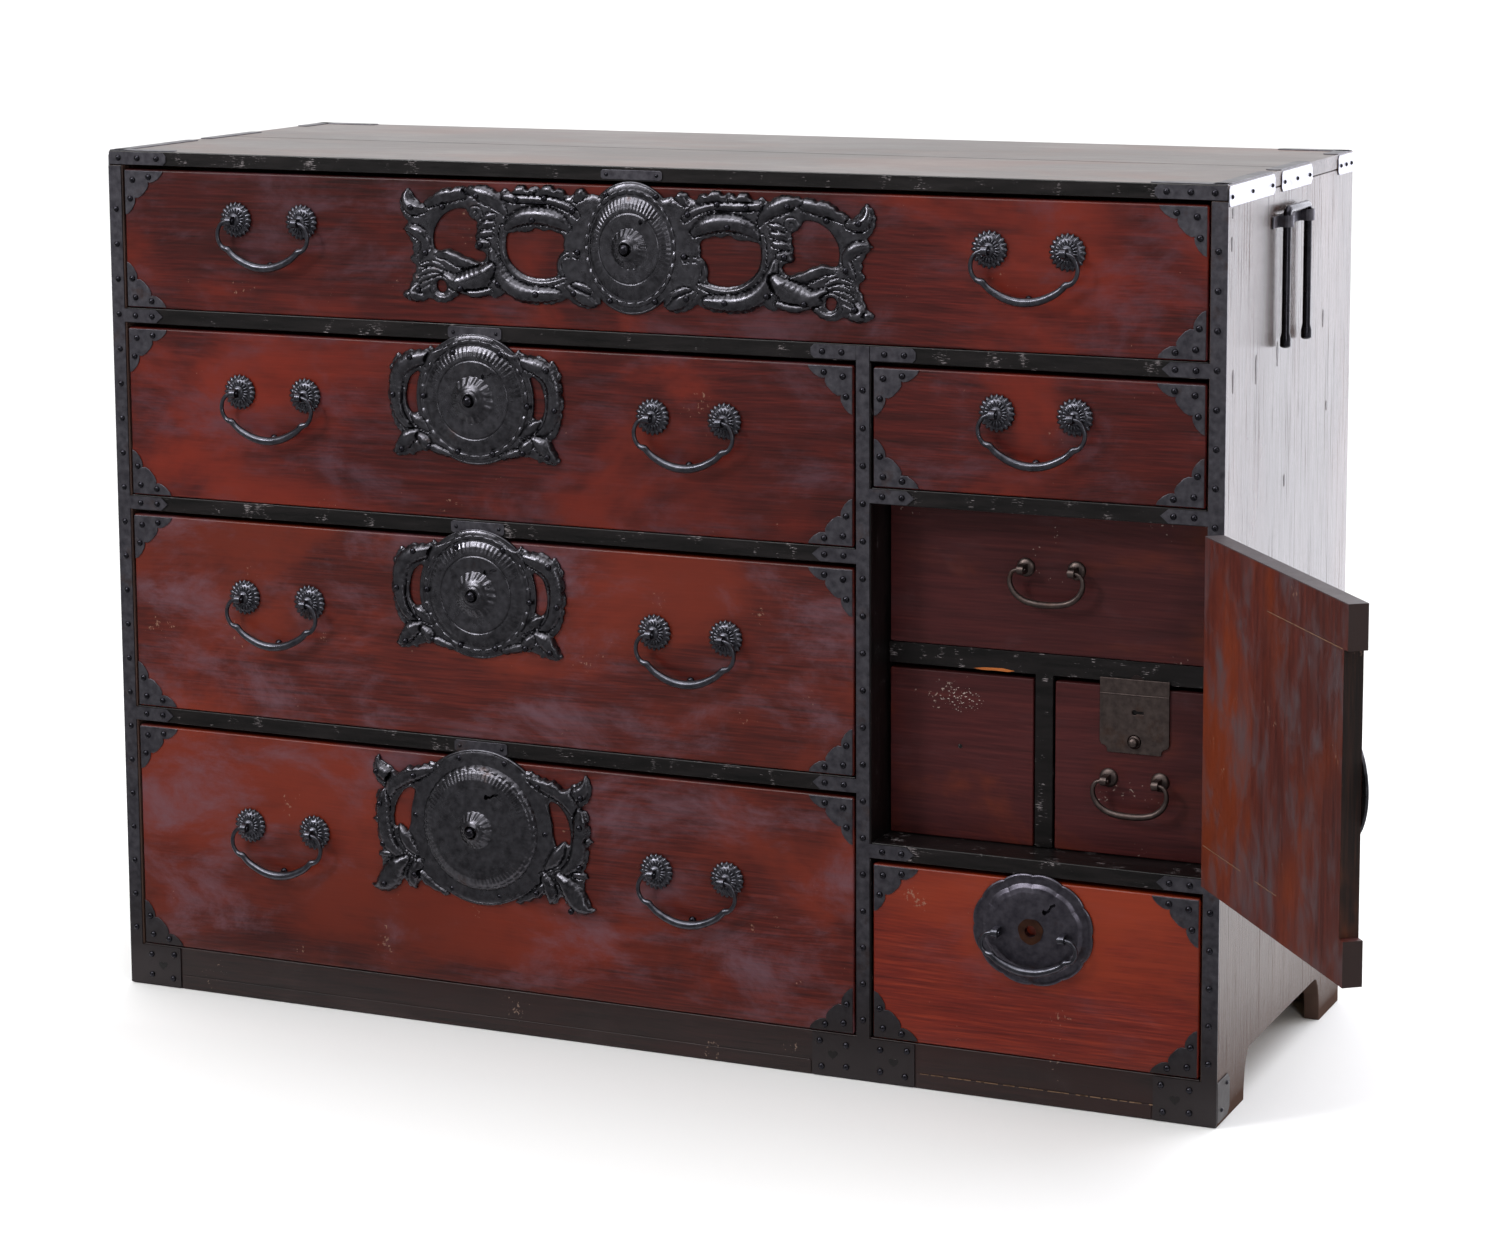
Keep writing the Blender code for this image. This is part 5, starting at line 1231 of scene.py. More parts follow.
# %% Turn the knobs


def turned(bm, profile, place, steps=40):
    """A shape swept from a profile of radius and height, closed by a radius of zero."""
    rows = []
    for radius, w in profile:
        if radius == 0:
            rows.append([bm.verts.new(place(0, 0, w))])
        else:
            rows.append([bm.verts.new(place(radius * cos(2 * pi * i / steps),
                                            radius * sin(2 * pi * i / steps), w))
                         for i in range(steps)])
    for first, second in zip(rows, rows[1:]):
        for i in range(steps):
            j = (i + 1) % steps
            ring = [first[i % len(first)], first[j % len(first)], second[j % len(second)],
                    second[i % len(second)]]
            bm.faces.new(list(dict.fromkeys(ring)))


knob_tip = ((0.0061, 0.0085), (0.0058, 0.0070), (0.0046, 0.0062), (0.0043, 0.0055),
            (0.0050, 0.0046), (0.0051, 0.0033), (0.0045, 0.0017), (0.0031, 0.0006),
            (0.0015, 0.0001), (0, 0))
for name in ("top", "second", "third", "bottom", "inner"):
    low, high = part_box(f"{name}_lock_knob")
    full = high.y - low.y
    profile = [(0, 0.0001), (0.0061, 0.0001)]
    profile += [(radius, full - drop) for radius, drop in knob_tip]
    bm = bmesh.new()
    turned(bm, profile, on_front(knob_centre(name), high.y))
    material = brown_iron if name == "inner" else nail_iron
    obj = keep(from_bmesh(f"{name}_knob_pin", bm), material, f"{name}_knob", f"{name}_lock_knob")
print("knobs turned, the last one", round(full * 1000, 1), "mm long")

# %% [markdown]
# ## Inner drawers
#
# Behind the door are three cedar drawers with a thin brown finish. Each is a box with a softened
# front. The one on the right is locked by a plain folded plate that stands above its edge.

# %% Build the inner drawers


def tray(bm, low, high, front_wall, side_wall, back_wall, floor_thickness):
    """An open box as one closed shell."""
    a = [(low.x, low.y), (high.x, low.y), (high.x, high.y), (low.x, high.y)]
    b = [(low.x + side_wall, low.y + front_wall), (high.x - side_wall, low.y + front_wall),
         (high.x - side_wall, high.y - back_wall), (low.x + side_wall, high.y - back_wall)]
    loops = [[bm.verts.new((x, y, z)) for x, y in row] for row, z in (
        (a, low.z), (a, high.z), (b, high.z), (b, low.z + floor_thickness))]
    for first, second in zip(loops, loops[1:]):
        for i in range(4):
            j = (i + 1) % 4
            bm.faces.new((first[i], first[j], second[j], second[i]))
    bm.faces.new(loops[0])
    bm.faces.new(loops[-1])


for node in ("inner_upper_drawer", "inner_left_drawer", "inner_right_drawer"):
    low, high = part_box(node)
    low.y = inner_front
    bm = bmesh.new()
    tray(bm, low, high, 0.014, 0.010, 0.009, 0.006)
    obj = keep(from_bmesh(f"{node}_shell", bm), elm_inner, node, node, smooth=False)
    soften(obj, 0.0014)

# %% Fold the plate of their lock

low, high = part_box("inner_lock_plate")
plate_x = (low.x + high.x) / 2
half = (high.x - low.x) / 2
on_plate = on_front((plate_x, low.z), inner_front)
ogee = [(half - 0.0078, 0), (half - 0.0072, 0.0038), (half - 0.0052, 0.0062),
        (half - 0.0018, 0.0072), (half, 0.0102), (half, high.z - low.z)]
outline = [*ogee, *[(-u, v) for u, v in ogee[::-1]]]
turns = [radians(30 + 300 * i / 12) for i in range(13)]
key = [(0.0026 * cos(a), 0.040 + 0.0026 * sin(a)) for a in turns]
key += [(0.0090, 0.0387), (0.0090, 0.0413)]
knob_hole = circle(knob_bore, 28, 0.0, knob_centre("inner")[1] - low.z)
sheet = cut_out("inner_plate_sheet", [[outline, key, knob_hole]], on_plate, SEAT, 0.0023)
soften(keep(sheet, brown_iron, "inner_right_drawer", "inner_lock_plate"), 0.0005)
fold = [(-0.0345, 0.0562), (0.0345, 0.0562), (0.0345, 0.0574), (-0.0345, 0.0574)]
ridge = cut_out("inner_plate_fold", [[fold]], on_plate, 0.0018, 0.0029)
keep(soften(ridge, 0.0005), brown_iron, "inner_right_drawer")
# A black sheet behind the keyhole is painted shade, the dark inside the hole.
behind_key = [(-0.010, 0.034), (0.012, 0.034), (0.012, 0.046), (-0.010, 0.046)]
dark = cut_out("inner_keyhole_shade", [[behind_key]], on_plate, 0.00005, 0.0002)
keep(dark, frame_stiles, "inner_right_drawer")
print("inner plate", round((high.x - low.x) * 1000), "by", round((high.z - low.z) * 1000), "mm")

# %% [markdown]
# ## Wear behind the door
#
# The compartment was used roughly. Its shelf has a burnt notch and a fresh split along its edge,
# and on the left drawer the pale ground shows in specks where the finish was rubbed through. Each
# mark is a patch thinner than paper. Specks set at a turn of 2.4 radians from one to the next
# fill a round area evenly, as seeds fill a sunflower, and a few sines make each speck ragged.

# %% Mark the shelf and the drawer

shelf_front = on_front((0, 0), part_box("inner_divider")[0].y)
drawer_front = on_front((0, 0), inner_front)
notch = [(0.4965, 0.4103), (0.4985, 0.4158), (0.5030, 0.4187), (0.5080, 0.4168), (0.5120, 0.4103)]
split = [(0.339, 0.4115), (0.347, 0.4104), (0.362, 0.4108), (0.374, 0.4104), (0.381, 0.4118),
         (0.368, 0.4136), (0.350, 0.4130)]
for label, points, material in (("burnt_notch", notch, plinth_lacquer),
                                ("chipped_edge", split, split_cedar)):
    keep(cut_out(label, [[points]], shelf_front, -0.0003, 0.0003), material, "case")
# The worm hole is a flat black disc, painted shade for the dark inside the hole.
worm_hole_shade = cut_out("worm_hole_shade", [[circle(0.0023, 16, 0.3253, 0.333)]], drawer_front, -0.0002,
                    0.00015)
keep(worm_hole_shade, frame_stiles, "inner_left_drawer")
scuffed = lacquered_wood("ground showing through lacquer", "X",
                         ("#8f827c", "#a89b95", "#b9ada7", "#a39089", "#b5aaa6"), roughness=0.8)
specks = []
for i in range(90):
    turn, reach = i * 2.4 + sin(1.7 * i), (i / 90) ** 0.5
    u, v = 0.3265 + 0.023 * reach * cos(turn), 0.383 + 0.0125 * reach * sin(turn) - 0.004 * reach
    size = 0.0003 + 0.0005 * (1 - reach) + 0.0003 * sin(5.0 * i)
    specks.append([[(u + size * (1 + 0.5 * sin(i + 2 * k)) * cos(k),
                     v + size * 0.6 * (1 + 0.5 * cos(1.3 * i + k)) * sin(k))
                    for k in (0, 1.1, 2.2, 3.1, 4.2, 5.3)]])
keep(cut_out("scuffs", specks, drawer_front, -0.0001, 0.00012), scuffed, "inner_left_drawer")
print("specks", len(specks))

# %% [markdown]
# ## Lower right lock
#
# The last drawer has a round plate with an edge of twelve shallow lobes, beaten into a low dome.
# Its eyes are riveted to the plate. The knob is lost, and a patch of rust lies round its hole.

# %% Beat the scalloped plate

low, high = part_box("lower_right_lock_plate")
half_width = (high.x - low.x) / 2
centre = ((low.x + high.x) / 2, (low.z + high.z) / 2)
tallness = (high.z - low.z) / 2 / half_width


def scalloped_dome(r, height):
    """The plate's height for a share of its radius: flat at its edge, with a low dome."""
    knots = np.array([(0.0, 1.0), (0.20, 1.0), (0.40, 0.96), (0.55, 0.88), (0.68, 0.74),
                      (0.77, 0.50), (0.815, 0.20), (0.835, 0.05), (0.93, 0.05), (0.955, 0.16),
                      (0.98, 0.16), (1.0, 0.0)])
    return height * np.interp(r, knots[:, 0], knots[:, 1])


bm = bmesh.new()
rings, turns = 80, 288
place = on_front(centre, front)
swell = [0.965 + 0.035 * abs(sin(12 * pi * j / turns)) ** 0.5 for j in range(turns)]
key = [((14 + u * 0.8) * MM, (20 + v * 2.2) * MM, half * MM) for u, v, half in key_shape]
grid = []
for i in range(rings):
    share = 0.006 / half_width + (1 - 0.006 / half_width) * i / (rings - 1)
    row = []
    for j in range(turns):
        a = 2 * pi * j / turns
        reach = half_width * share * (1 + (swell[j] - 1) * share)
        u, v = reach * cos(a), reach * tallness * sin(a)
        gap, _, half = nearest(np.array([(u, v)]), key)
        w = 0.0023 + float(scalloped_dome(np.array([share]), 0.0055)[0])
        row.append(bm.verts.new(place(u, v, 0.0006 if gap[0] < half[0] else w)))
    grid.append(row)
foot = [bm.verts.new(Vector((v.co.x, front - SEAT, v.co.z))) for v in grid[-1]]
hole = [bm.verts.new(Vector((v.co.x, front - SEAT, v.co.z))) for v in grid[0]]
for first, second in zip([hole, *grid, foot], [*grid, foot, hole]):
    for j in range(turns):
        k = (j + 1) % turns
        bm.faces.new((first[j], first[k], second[k], second[j]))
keep(from_bmesh("lower_right_plate", bm), dark_iron, "lower_right_drawer",
     "lower_right_lock_plate")
print("scalloped plate", round(half_width * 2000), "mm wide")

# %% Its eyes and its rust

pivot = pivots["lower_right_bail"]
spots = [(pivot.x - low_spacing, pivot.z), (pivot.x + low_spacing, pivot.z)]
keep(eyes("lower_right_eyes", spots, front - 0.002, pivot.y, 1.0), bail_iron,
     "lower_right_drawer")
stain = [(0.0125 * (1 + 0.03 * sin(3 * a) + 0.02 * sin(7 * a)) * cos(a),
          0.0125 * (1 + 0.03 * sin(3 * a) + 0.02 * sin(7 * a)) * sin(a))
         for a in [2 * pi * i / 48 for i in range(48)]]
rust = cut_out("rust_round_the_hole", [[stain, circle(0.0058, 32)]], place, 0.0070, 0.0086)
keep(rust, rusty_iron, "lower_right_drawer")
print("eyes at", [round(x, 3) for x, _ in spots])

# %% [markdown]
# ## Carrying handles
#
# On each side a square bar bent like a staple slides up out of its strap and lets a pole pass
# under it. The same tube that made the bails makes it, with swollen feet that stop it.

# %% Bend the carrying handles

bar, foot_radius, bend = 0.0040, 0.0053, 0.0060
for name in ("left", "right"):
    low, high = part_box(f"{name}_carry_handle")
    x, y = (low.x + high.x) / 2, (low.y + high.y) / 2
    reach, top = (high.y - low.y) / 2 - foot_radius, high.z - bar
    half = [(reach, low.z + 0.0006, 0.0035), (reach, low.z + 0.0020, foot_radius),
            (reach, low.z + 0.0095, foot_radius), (reach, low.z + 0.0150, bar),
            (reach, top - bend, bar)]
    half += [(reach - bend * (1 - cos(radians(a))), top - bend * (1 - sin(radians(a))), bar)
             for a in (22, 45, 67, 90)]
    path = half + [(-u, z, r) for u, z, r in half[::-1]]
    line = [(Vector((x, y + u, z)), r) for u, z, r in path]
    obj = keep(tube(f"{name}_handle_bar", line, 16), nail_iron, f"{name}_carry_handle",
               f"{name}_carry_handle")
print("handle reach", round(reach * 1000, 1), "mm")

# %% [markdown]
# ## Corner irons
#
# Every outer drawer has an iron at each corner, cut to three lobes with a chisel and let flush
# into the lacquer. One outline is turned four ways.

# %% Cut the corner irons

corner = ((0, 0), (0.046, 0), (0.0445, 0.0035), (0.040, 0.0080), (0.0345, 0.0112),
          (0.0295, 0.0120), (0.0280, 0.0112), (0.0283, 0.0150), (0.0260, 0.0195),
          (0.0228, 0.0228), (0.0195, 0.0260), (0.0150, 0.0283), (0.0112, 0.0280),
          (0.0120, 0.0295), (0.0112, 0.0345), (0.0080, 0.040), (0.0035, 0.0445), (0, 0.046))
corner_nails = ((0.0095, 0.0095), (0.0290, 0.0062), (0.0062, 0.0290))
inset = 0.0012
for body, (low, high) in front_boxes.items():
    bm = bmesh.new()
    for across in (-1, 1):
        for up in (-1, 1):
            x = low.x + inset if across > 0 else high.x - inset
            z = low.z + inset if up > 0 else high.z - inset
            place = on_front((x, z), front)
            prism(bm, [[(across * u, up * v) for u, v in corner]], place, 0.0001, IRON)
            for u, v in corner_nails:
                nail(body, place(across * u, up * v, IRON), plate_nail)
    keep(soften(from_bmesh(f"{body}_corner_irons", bm), 0.0004), strap_iron, body)
print("corner irons", 4 * len(front_boxes))

# %% [markdown]
# ## Irons of the frame
#
# Straps cover the frame's joints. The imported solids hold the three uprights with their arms.
# The thin trims are added here: two arms beside the partition, straps at the ends of the top's
# front edge, and strike plates above the locks, into which the bolts shoot. A strap is a
# rectangle with clipped ends, because a smith cuts off the corners that would catch a sleeve.

# %% Cut the trims of the front

top_low, top_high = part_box("top_board")
shelf_low, shelf_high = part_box("upper_shelf")
wall_low, wall_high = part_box("centre_partition")
rail = on_front((0, 0), front)


def strap(bm, place, u0, v0, u1, v1, low=0.0002, high=IRON, clip=0.0035, ends="both"):
    """A flat strap with clipped ends."""
    left_clip = clip if ends in ("both", "left") else 0
    right_clip = clip if ends in ("both", "right") else 0
    points = [(u0 + left_clip, v0), (u1 - right_clip, v0), (u1, v0 + right_clip),
              (u1, v1 - right_clip), (u1 - right_clip, v1), (u0 + left_clip, v1),
              (u0, v1 - left_clip), (u0, v0 + left_clip)]
    prism(bm, [list(dict.fromkeys(points))], place, low, high)


bm = bmesh.new()
arm, lap, margin = 0.046, 0.0008, 0.0012
strap(bm, rail, wall_low.x - arm, shelf_low.z + margin, wall_low.x + lap,
      shelf_high.z - margin, ends="left")
strap(bm, rail, wall_high.x - lap, shelf_low.z + margin, wall_high.x + arm,
      shelf_high.z - margin, ends="right")
for x0, x1 in ((top_low.x, top_low.x + 0.070), (top_high.x - 0.070, top_high.x)):
    strap(bm, rail, x0 + 0.0006, top_low.z + 0.0004, x1 - 0.0006, top_high.z - margin,
          ends="right" if x0 < 0 else "left")
    for x in (x0 + 0.012, x0 + 0.035, x0 + 0.058):
        nail("case", rail(x, (top_low.z + top_high.z) / 2, IRON), frame_nail)
for u in (-0.034, -0.014, 0.014, 0.034):
    x = wall_low.x + u if u < 0 else wall_high.x + u
    nail("case", rail(x, (shelf_low.z + shelf_high.z) / 2, IRON), frame_nail)
for name, z, height in (("top", top_low.z + 0.0015, 0.0095),
                        ("second", shelf_low.z + 0.002, 0.0120),
                        ("third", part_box("left_shelf_upper")[0].z + 0.002, 0.0120),
                        ("bottom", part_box("left_shelf_lower")[0].z + 0.002, 0.0120)):
    x, _ = knob_centre(name)
    half = 0.033 if name == "top" else 0.030
    strap(bm, rail, x - half, z, x + half, z + height, clip=0.002)
    for u in (-half + 0.006, half - 0.006):
        nail("case", rail(x + u, z + height / 2, IRON), 0.0020)
print("trim nails of the front", len(nails["case"]))

# %% [markdown]
# ## Irons of the sides and the top
#
# Three bright plates along the upper edge of each side are paired with narrow ones that lie on
# the top, and four straps close its corners. A clipped plate wraps the foot of each side. The
# irons on the sides are coloured nearly white, a painted reflection of the white backdrop, so
# they are a mesh of their own.

# %% Cut the trims of the sides and the top

bright = bmesh.new()
edge_plates = ((-0.0100, 0.141), (0.163, 0.271), (0.367, 0.4265))
for side in (-1, 1):
    beside = on_side(side)
    x0, x1 = sorted((side * 0.5992, side * (0.5992 - 0.015)))
    for y0, y1 in edge_plates:
        strap(bright, beside, y0 + 0.0006, 0.8745 - 0.006, y1 - 0.0006, 0.8880, clip=0.004)
        strap(bm, on_top, x0, y0 + 0.0006, x1, y1 - 0.0006, low=-0.0002, high=0.0008, clip=0.003)
        for y in (y0 + 0.010, (y0 + y1) / 2, y1 - 0.010):
            nail("case", beside(y, 0.8775, IRON), side_nail, (side, 0, 0))
    strap(bm, beside, -0.0094, 0.004, 0.030, 0.044, clip=0.006, ends="right")
    for y, z in ((0.004, 0.014), (0.020, 0.036)):
        nail("case", beside(y, z, IRON), side_nail, (side, 0, 0))
for x0, x1 in ((top_low.x + lap, top_low.x + 0.075), (top_high.x - 0.075, top_high.x - lap)):
    for y0, y1 in ((top_low.y + lap, top_low.y + 0.016), (top_high.y - 0.016, top_high.y - lap)):
        strap(bm, on_top, x0, y0, x1, y1, low=-0.0002, high=0.0008,
              ends="right" if x0 < 0 else "left")
keep(soften(from_bmesh("case_trims", bm), 0.0003), strap_iron, "case")
# The side irons are pale as a painted reflection of the backdrop.
keep(soften(from_bmesh("side_edge_irons", bright), 0.0003), reflecting_pale_iron, "case")
print("trim nails", len(nails["case"]))

# %% [markdown]
# ## The plinth
#
# A heart is cut through each foot plate of the frame. Between the plates the plinth has a thin
# lip, and the middle of its upper edge shows short pale dashes: wood worn bare, and a painted
# highlight along the edge.

# %% Hearts, lip, and the worn edge with its painted highlight

turns = [2 * pi * i / 36 for i in range(36)]
heart_size = 0.0052
heart = [(heart_size * (sin(a) ** 3),
          heart_size * (0.81 * cos(a) - 0.31 * cos(2 * a) - 0.13 * cos(3 * a) - 0.06 * cos(4 * a)))
         for a in turns]
bm = bmesh.new()
for x in (-0.560, wall_low.x - 0.024, wall_high.x + 0.024, 0.560):
    prism(bm, [heart], on_front((x, 0.023), front), IRON, 0.0017)
keep(from_bmesh("heart_openings", bm), frame_rails, "case")
bm = bmesh.new()
lip_top = 0.0150
for x0, x1 in ((-0.5365, wall_low.x - 0.0475), (wall_high.x + 0.0475, 0.5365)):
    strap(bm, rail, x0, 0.0008, x1, lip_top, high=0.0010, clip=0.001)
keep(soften(from_bmesh("plinth_lip", bm), 0.0004), plinth_lacquer, "case")
# Pale dashes along the lip's top: bare wood where it is worn, and a painted highlight.
bm = bmesh.new()
for i in range(26):
    x0 = 0.302 + 0.0092 * i + 0.003 * sin(i * 2.3)
    thick = 0.00022 + 0.00022 * abs(sin(i * 1.7))
    strap(bm, rail, x0, lip_top - thick, x0 + 0.0088 + 0.002 * sin(i * 3.1), lip_top + thick,
          low=0.0004, clip=0.0001)
keep(from_bmesh("worn_lip_edge_highlight", bm), old_cedar, "case")
print("lip", round(lip_top * 1000), "mm high")

# %% [markdown]
# ## Stains and seams
#
# Iron nails under the lacquer have bled into the right side as dark spindles. The top and the
# back are each joined from narrower boards, and a thin black line shows where they meet. The
# back is nailed to the case all round.

# %% Draw the stains and seams

nail_stains = ((0.006, 0.862, 5), (0.004, 0.834, 7), (0.160, 0.714, 12), (0.190, 0.587, 6),
               (0.088, 0.708, 14), (0.322, 0.730, 9), (0.013, 0.706, 11), (0.340, 0.640, 5))
spindles = [[[(y + 0.0022 * cos(2 * pi * i / 20) * (1 + 0.3 * sin(6 * pi * i / 20)),
               z + half * MM * sin(2 * pi * i / 20)) for i in range(20)]]
            for y, z, half in nail_stains]
keep(cut_out("nail_stains", spindles, on_side(1), -0.0004, 0.00025), plinth_lacquer, "case")
bm = bmesh.new()
for i in range(24):
    x0 = -0.597 + 0.0497 * i
    strap(bm, on_top, x0, 0.2035 + 0.0004 * sin(i * 2.1), x0 + 0.0497, 0.2043 + 0.0003 * sin(i),
          low=-0.0003, high=0.00012, clip=0)
keep(from_bmesh("top_seam", bm), plinth_lacquer, "case")
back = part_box("back_panel")[1].y
bm = bmesh.new()
for z in (0.2270, 0.4480, 0.6630):
    box(bm, (-0.583, back - 0.0004, z - 0.0006), (0.583, back + 0.0001, z + 0.0006))
keep(from_bmesh("back_seams", bm), plinth_lacquer, "case")
nail_pitch = 0.0715
for x in [-0.572 + nail_pitch * i for i in range(17)]:
    for z in (0.058, 0.862):
        nail("case", (x, back, z), side_nail, (0, 1, 0))
for z in [0.110 + nail_pitch * i for i in range(11)]:
    for x in (-0.574, 0.574):
        nail("case", (x, back, z), side_nail, (0, 1, 0))
face = [(-0.5990, 0.8750), (0.5990, 0.8750), (0.5990, 0.8880), (-0.5990, 0.8880)]
keep(cut_out("top_front_edge", [[face]], rail, -0.0002, 0.00012), frame_rails, "case")
print("nails so far", len(nails["case"]))

# %% [markdown]
# ## Nails
#
# Round-headed nails hold all the iron. There are hundreds, all alike, so a node tree sets a
# small dome at each point, turned to face the way that the point says, with its own size.

# %% A node tree for the nails

nail_tree, given, out = new_tree("domed nails", [
    ("Dome height", "Float", 0.8), ("Iron", "Material", None)])
head = add(nail_tree, "GeometryNodeMeshUVSphere", {"Segments": 12, "Rings": 8, "Radius": 1.0})
half_sunk = add(nail_tree, "CombineXYZ", {0: 1.0, 1: 1.0, 2: given.outputs["Dome height"]})
domes = add(nail_tree, "GeometryNodeTransform", {"Geometry": head, "Scale": half_sunk})
facing = add(nail_tree, "GeometryNodeInputNamedAttribute", {"Name": "facing"},
             data_type="FLOAT_VECTOR")
width = add(nail_tree, "GeometryNodeInputNamedAttribute", {"Name": "width"}, data_type="FLOAT")
turned_to = add(nail_tree, "FunctionNodeAlignRotationToVector", {"Vector": facing}, axis="Z")
set_nails = add(nail_tree, "GeometryNodeInstanceOnPoints", {
    "Points": given.outputs["Geometry"], "Instance": domes, "Rotation": turned_to, "Scale": width})
real_nails = add(nail_tree, "GeometryNodeRealizeInstances", {0: set_nails})
nails_painted = add(nail_tree, "GeometryNodeSetMaterial", {
    "Geometry": real_nails, "Material": given.outputs["Iron"]})
nail_tree.links.new(nails_painted.outputs[0], out.inputs[0])
print("nail tree nodes", len(nail_tree.nodes))

# %% Drive the nails


def drive(body, height=0.8):
    """Sets all the nails of a body as one mesh."""
    spots, facings, radii = zip(*nails[body])
    obj = run_tree(f"{body}_nails", nail_tree, spots, {"facing": facings, "width": radii},
                   {"Dome height": height, "Iron": nail_iron})
    return keep(obj, nail_iron, body)


for bail, pivot in pivots.items():
    if "bail" in bail and bail != "lower_right_bail" and not bail.startswith("inner"):
        nail(parents[bail], rail(pivot.x, pivot.z - 0.046, SEAT), drawer_nail)
stile_x, stile_foot, stile_pitch = 0.592, 0.062, 0.0365
on_iron = SEAT + IRON
door_low, door_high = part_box("door_panel")
hinge_z = (door_low.z + 0.040, door_high.z - 0.040)
for x in (-stile_x, stile_x):
    for z in [stile_foot + stile_pitch * i for i in range(22)]:
        if x < 0 or min(abs(z - level) for level in hinge_z) >= 0.012:
            nail("case", rail(x, z, on_iron), frame_nail)
mid = (wall_low.x + wall_high.x) / 2
for z in [stile_foot + stile_pitch * i for i in range(18)]:
    nail("case", rail(mid, z, on_iron), frame_nail)
inner_x = 0.584
for node, side, x in (("left_shelf_lower", 1, -inner_x), ("left_shelf_upper", 1, -inner_x),
                      ("upper_shelf", 1, -inner_x), ("upper_shelf", -1, inner_x),
                      ("right_shelf_lower", -1, inner_x), ("right_shelf_upper", -1, inner_x),
                      ("left_shelf_lower", -1, wall_low.x), ("left_shelf_upper", -1, wall_low.x),
                      ("right_shelf_lower", 1, wall_high.x),
                      ("right_shelf_upper", 1, wall_high.x)):
    z = (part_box(node)[0].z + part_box(node)[1].z) / 2
    for u in (0.012, 0.032):
        nail("case", rail(x + side * u, z, on_iron), frame_nail)
for x, side in ((-inner_x, 1), (wall_low.x, -1), (wall_high.x, 1), (inner_x, -1)):
    for u, z in ((0.010, 0.034), (0.010, 0.012), (0.038, 0.036), (0.036, 0.010)):
        nail("case", rail(x + side * u, z, on_iron), plate_nail)
for body in list(nails):
    drive(body)
print("nails driven", sum(len(rows) for rows in nails.values()))

# %% [markdown]
# ## The door
#
# The door is one board of elm between two cleats. It stands open, so the worn inner face shows,
# with its grain upright. The imported solid stays. What is added is drawn as if the door were shut
# and then turned about the hinge with it: the lines where board and cleats meet, and the raw wood
# where a strip has broken off the free edge, darkened further as painted shade.

# %% Dress the door

hinge = pivots["door"]
opening = 128
swing = Matrix.Rotation(radians(opening), 3, "Z")
door_node = frame["nodes"]["door_panel"]
door_node.material_slots[0].material = elm_door
outwards = swing @ Vector((-1, 0, 0))
paint_past(elm_door, outwards, hinge.x * outwards.x + hinge.y * outwards.y + 0.3472, -0.0006,
           "#2c1e1c")


def on_door(u, v, w):
    """Maps a point of the shut door's front to the open door."""
    shut = Vector((u, front - w, v)) - Vector((hinge.x, hinge.y, 0))
    return swing @ shut + Vector((hinge.x, hinge.y, 0))


cleat = 0.040
foot, head = door_low.z + cleat, door_high.z - cleat
joint_lines = [[[(u0, z - 0.0003), (u1, z - 0.0005), (u1, z), (u0, z + 0.0003)]]
               for z, u0, u1 in ((head, 0.264, 0.430), (foot, 0.485, 0.578),
                                 (foot, 0.400, 0.452))]
keep(cut_out("cleat_joints", joint_lines, on_door, -0.0182, -0.0179), old_cedar, "door")
# The lost edge is bare wood, with painted shade darkening it.
lost = [(0.2615 - 0.0002, foot + 0.001), (0.2615 + 0.0006, foot + 0.001),
        (0.2615 + 0.0006, head - 0.001), (0.2615 - 0.0002, head - 0.001)]
keep(cut_out("lost_edge", [[lost]], on_door, -0.0177, -0.0003), shaded_bare_edge, "door")
print("door turned by", opening, "degrees")

# %% [markdown]
# ## The door's outer face
#
# The face that the photograph turns away has the hinge pads, riveted flat on the wood, and one
# lock with the same coiled disc as the drawers. The pads, leaves and knuckles are redrawn over
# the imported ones, which share the door's solid and so would show as wood.

# %% Hinges and lock of the door

bm = bmesh.new()
outside = tuple(swing @ Vector((0, -1, 0)))
for level in hinge_z:
    pad = [(0.5366, level - 0.0134), (0.5822, level - 0.0134), (0.5822, level + 0.0134),
           (0.5366, level + 0.0134)]
    leaf = [(0.5815, level - 0.0063), (0.5990, level - 0.0063), (0.5990, level + 0.0063),
            (0.5815, level + 0.0063)]
    prism(bm, [pad], on_door, 0.0001, 0.0037)
    prism(bm, [leaf], on_door, 0.0017, 0.0036)
    prism(bm, [circle(0.00368, 32)], lambda u, v, w: Vector((hinge.x + u, hinge.y + v, w)),
          level - 0.0057, level + 0.0057)
    for u, v in ((0.545, -0.006), (0.545, 0.006), (0.562, 0.0)):
        nail("door", on_door(u, level + v, 0.0037), 0.0030, outside)
keep(soften(from_bmesh("door_hinge_irons", bm), 0.0004), strap_iron, "door")
drive("door", height=0.6)
lock_radius = 0.051
lock_x, lock_z = 0.2525 + lock_radius, hinge.z
bm = bmesh.new()
add_disc(bm, coiled_disc, lock_radius, 0.0095, 1.0, 0.0023, 0.0004,
         lambda u, v, w: on_door(lock_x + u, lock_z + v, w), rings=70, turns=192)
keep(from_bmesh("door_disc", bm), plate_iron, "door", "door_lock_plate")
print("door lock at", [round(c, 3) for c in on_door(lock_x, lock_z, 0)])

# %% [markdown]
# ## Camera, light and floor
#
# The photograph was taken from the right and a little above the top, with a long lens. The
# seven corners of the case that show give the camera's place and turn. A small downward shift
# keeps the uprights nearly parallel.

# %% Camera

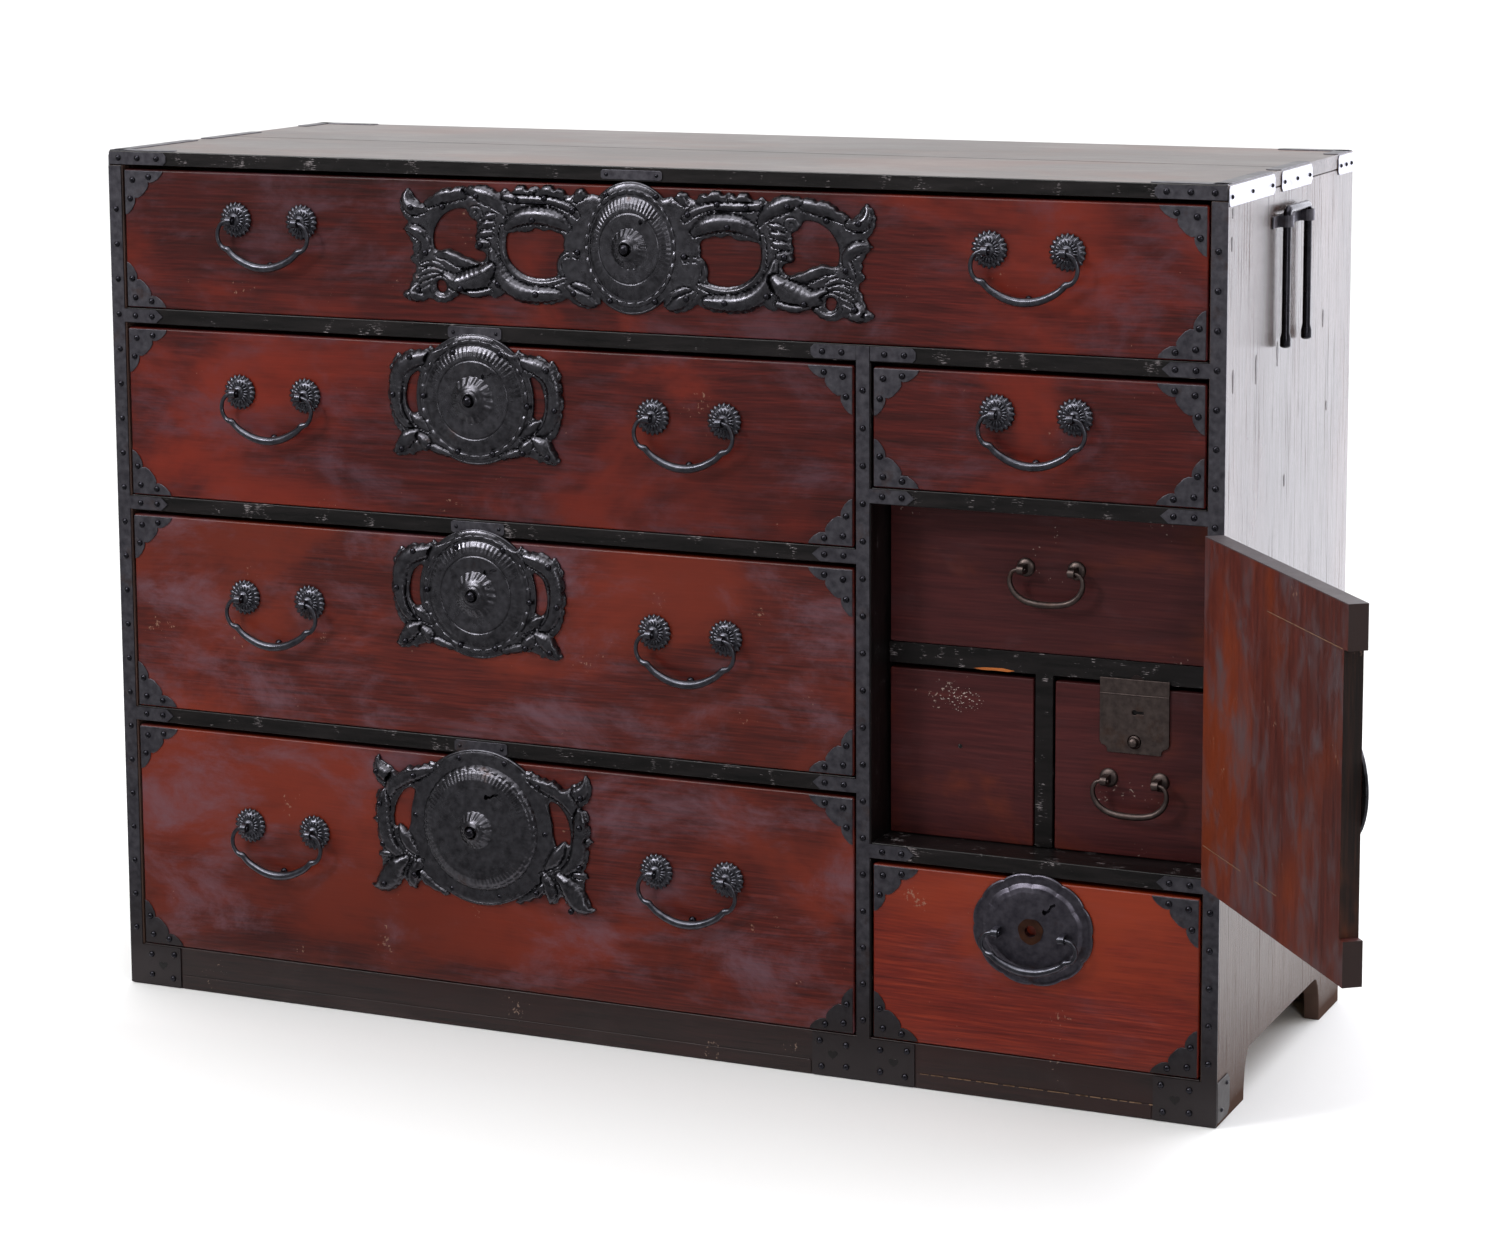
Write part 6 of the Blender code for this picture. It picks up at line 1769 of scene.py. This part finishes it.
camera = placed("camera", bpy.data.cameras.new("camera"))
camera.data.lens = 90.189
camera.data.sensor_width = 36.0
camera.data.shift_y = -0.1487
camera.location = (1.5795, -3.2952, 1.1824)
camera.rotation_euler = (radians(81.833), radians(0.274), radians(23.849))
camera.data.clip_end = 200
bpy.context.scene.camera = camera
middle = (Vector(cad_box[0]) + Vector(cad_box[1])) / 2
print("camera stands", round((camera.location - middle).length, 2), "m away")

# %% [markdown]
# ## Light and floor
#
# Light is soft: a pale world that is brighter behind the chest and overhead, a wide sun for a
# ceiling, a key panel at the left, a weaker one at the right, and a tall panel at the back right
# that the glossy side mirrors. One more panel is seen only in reflections and draws the glints on
# the irons. A grey card just over the floor, seen by reflections alone, keeps the white floor in
# front from washing out the lacquer and the iron.

# %% Light and floor


def panel(name, location, target, size, power, colour="#ffffff"):
    """A soft rectangular light that faces a point."""
    light = bpy.data.lights.new(name, "AREA")
    light.shape = "RECTANGLE"
    light.size, light.size_y = size
    light.energy = power
    light.color = hex_colour(colour)[:3]
    obj = placed(name, light)
    obj.location = location
    obj.rotation_euler = (Vector(target) - Vector(location)).to_track_quat("-Z", "Y").to_euler()
    obj.visible_camera = False
    return obj


world = bpy.data.worlds.new("pale studio")
bpy.context.scene.world = world
world.use_nodes = True
sky = world.node_tree
way = add(sky, "SeparateXYZ", {0: add(sky, "TexCoord").outputs["Generated"]})
behind = add(sky, "MapRange", {0: way.outputs["Y"], 1: -0.30, 2: 0.30, 3: 0.0, 4: 1.0},
             interpolation_type="SMOOTHSTEP")
above = add(sky, "MapRange", {0: way.outputs["Z"], 1: 0.45, 2: 0.95, 3: 0.0, 4: 0.7},
            interpolation_type="SMOOTHSTEP")
lightest = add(sky, "Math", {0: behind, 1: above}, operation="MAXIMUM")
strength = add(sky, "MapRange", {0: lightest, 3: 0.10, 4: 1.02})
sky.links.new(strength.outputs[0], sky.nodes["Background"].inputs["Strength"])
sky.nodes["Background"].inputs["Color"].default_value = hex_colour("#ffffff")
sun = bpy.data.lights.new("soft ceiling", "SUN")
sun.energy = 1.9
sun.angle = radians(70)
placed("soft ceiling", sun)
panel("key panel", (-2.3, -3.0, 2.7), (0, 0, 0.5), (0.8, 0.8), 75)
panel("right panel", (2.5, -2.6, 1.5), (0.3, 0, 0.4), (0.7, 1.2), 16)
panel("tall back panel", (1.35, 1.65, 1.1), (1.1, 0.4, 1.0), (1.9, 2.2), 24, "#f0f2ff")
glint = panel("glint panel", (-0.9, -2.6, 3.2), (0, 0, 0.5), (1.6, 0.7), 48)
glint.visible_diffuse = False
flag_finish, _, shader, _ = finish("grey card", 1.0, specular=0.0)
shader.inputs["Base Color"].default_value = hex_colour("#7c7c7c")
bm = bmesh.new()
prism(bm, [[(-9, -9), (6, -9), (6, -0.13), (-9, -0.13)]], lambda u, v, w: Vector((u, v, w)),
      0.004, 0.008)
flag = from_bmesh("grey card", bm)
flag.data.materials.append(flag_finish)
flag.visible_camera = flag.visible_diffuse = flag.visible_shadow = False
flag.visible_transmission = False

floor_finish, _, shader, _ = finish("pale studio floor", 0.6)
shader.inputs["Base Color"].default_value = hex_colour("#f4f4f4")
bm = bmesh.new()
bmesh.ops.create_circle(bm, cap_ends=True, segments=64, radius=60)
floor = from_bmesh("floor", bm)
floor.data.materials.append(floor_finish)
bpy.context.scene.view_settings.view_transform = "Standard"
print("lights", len(bpy.data.lights))
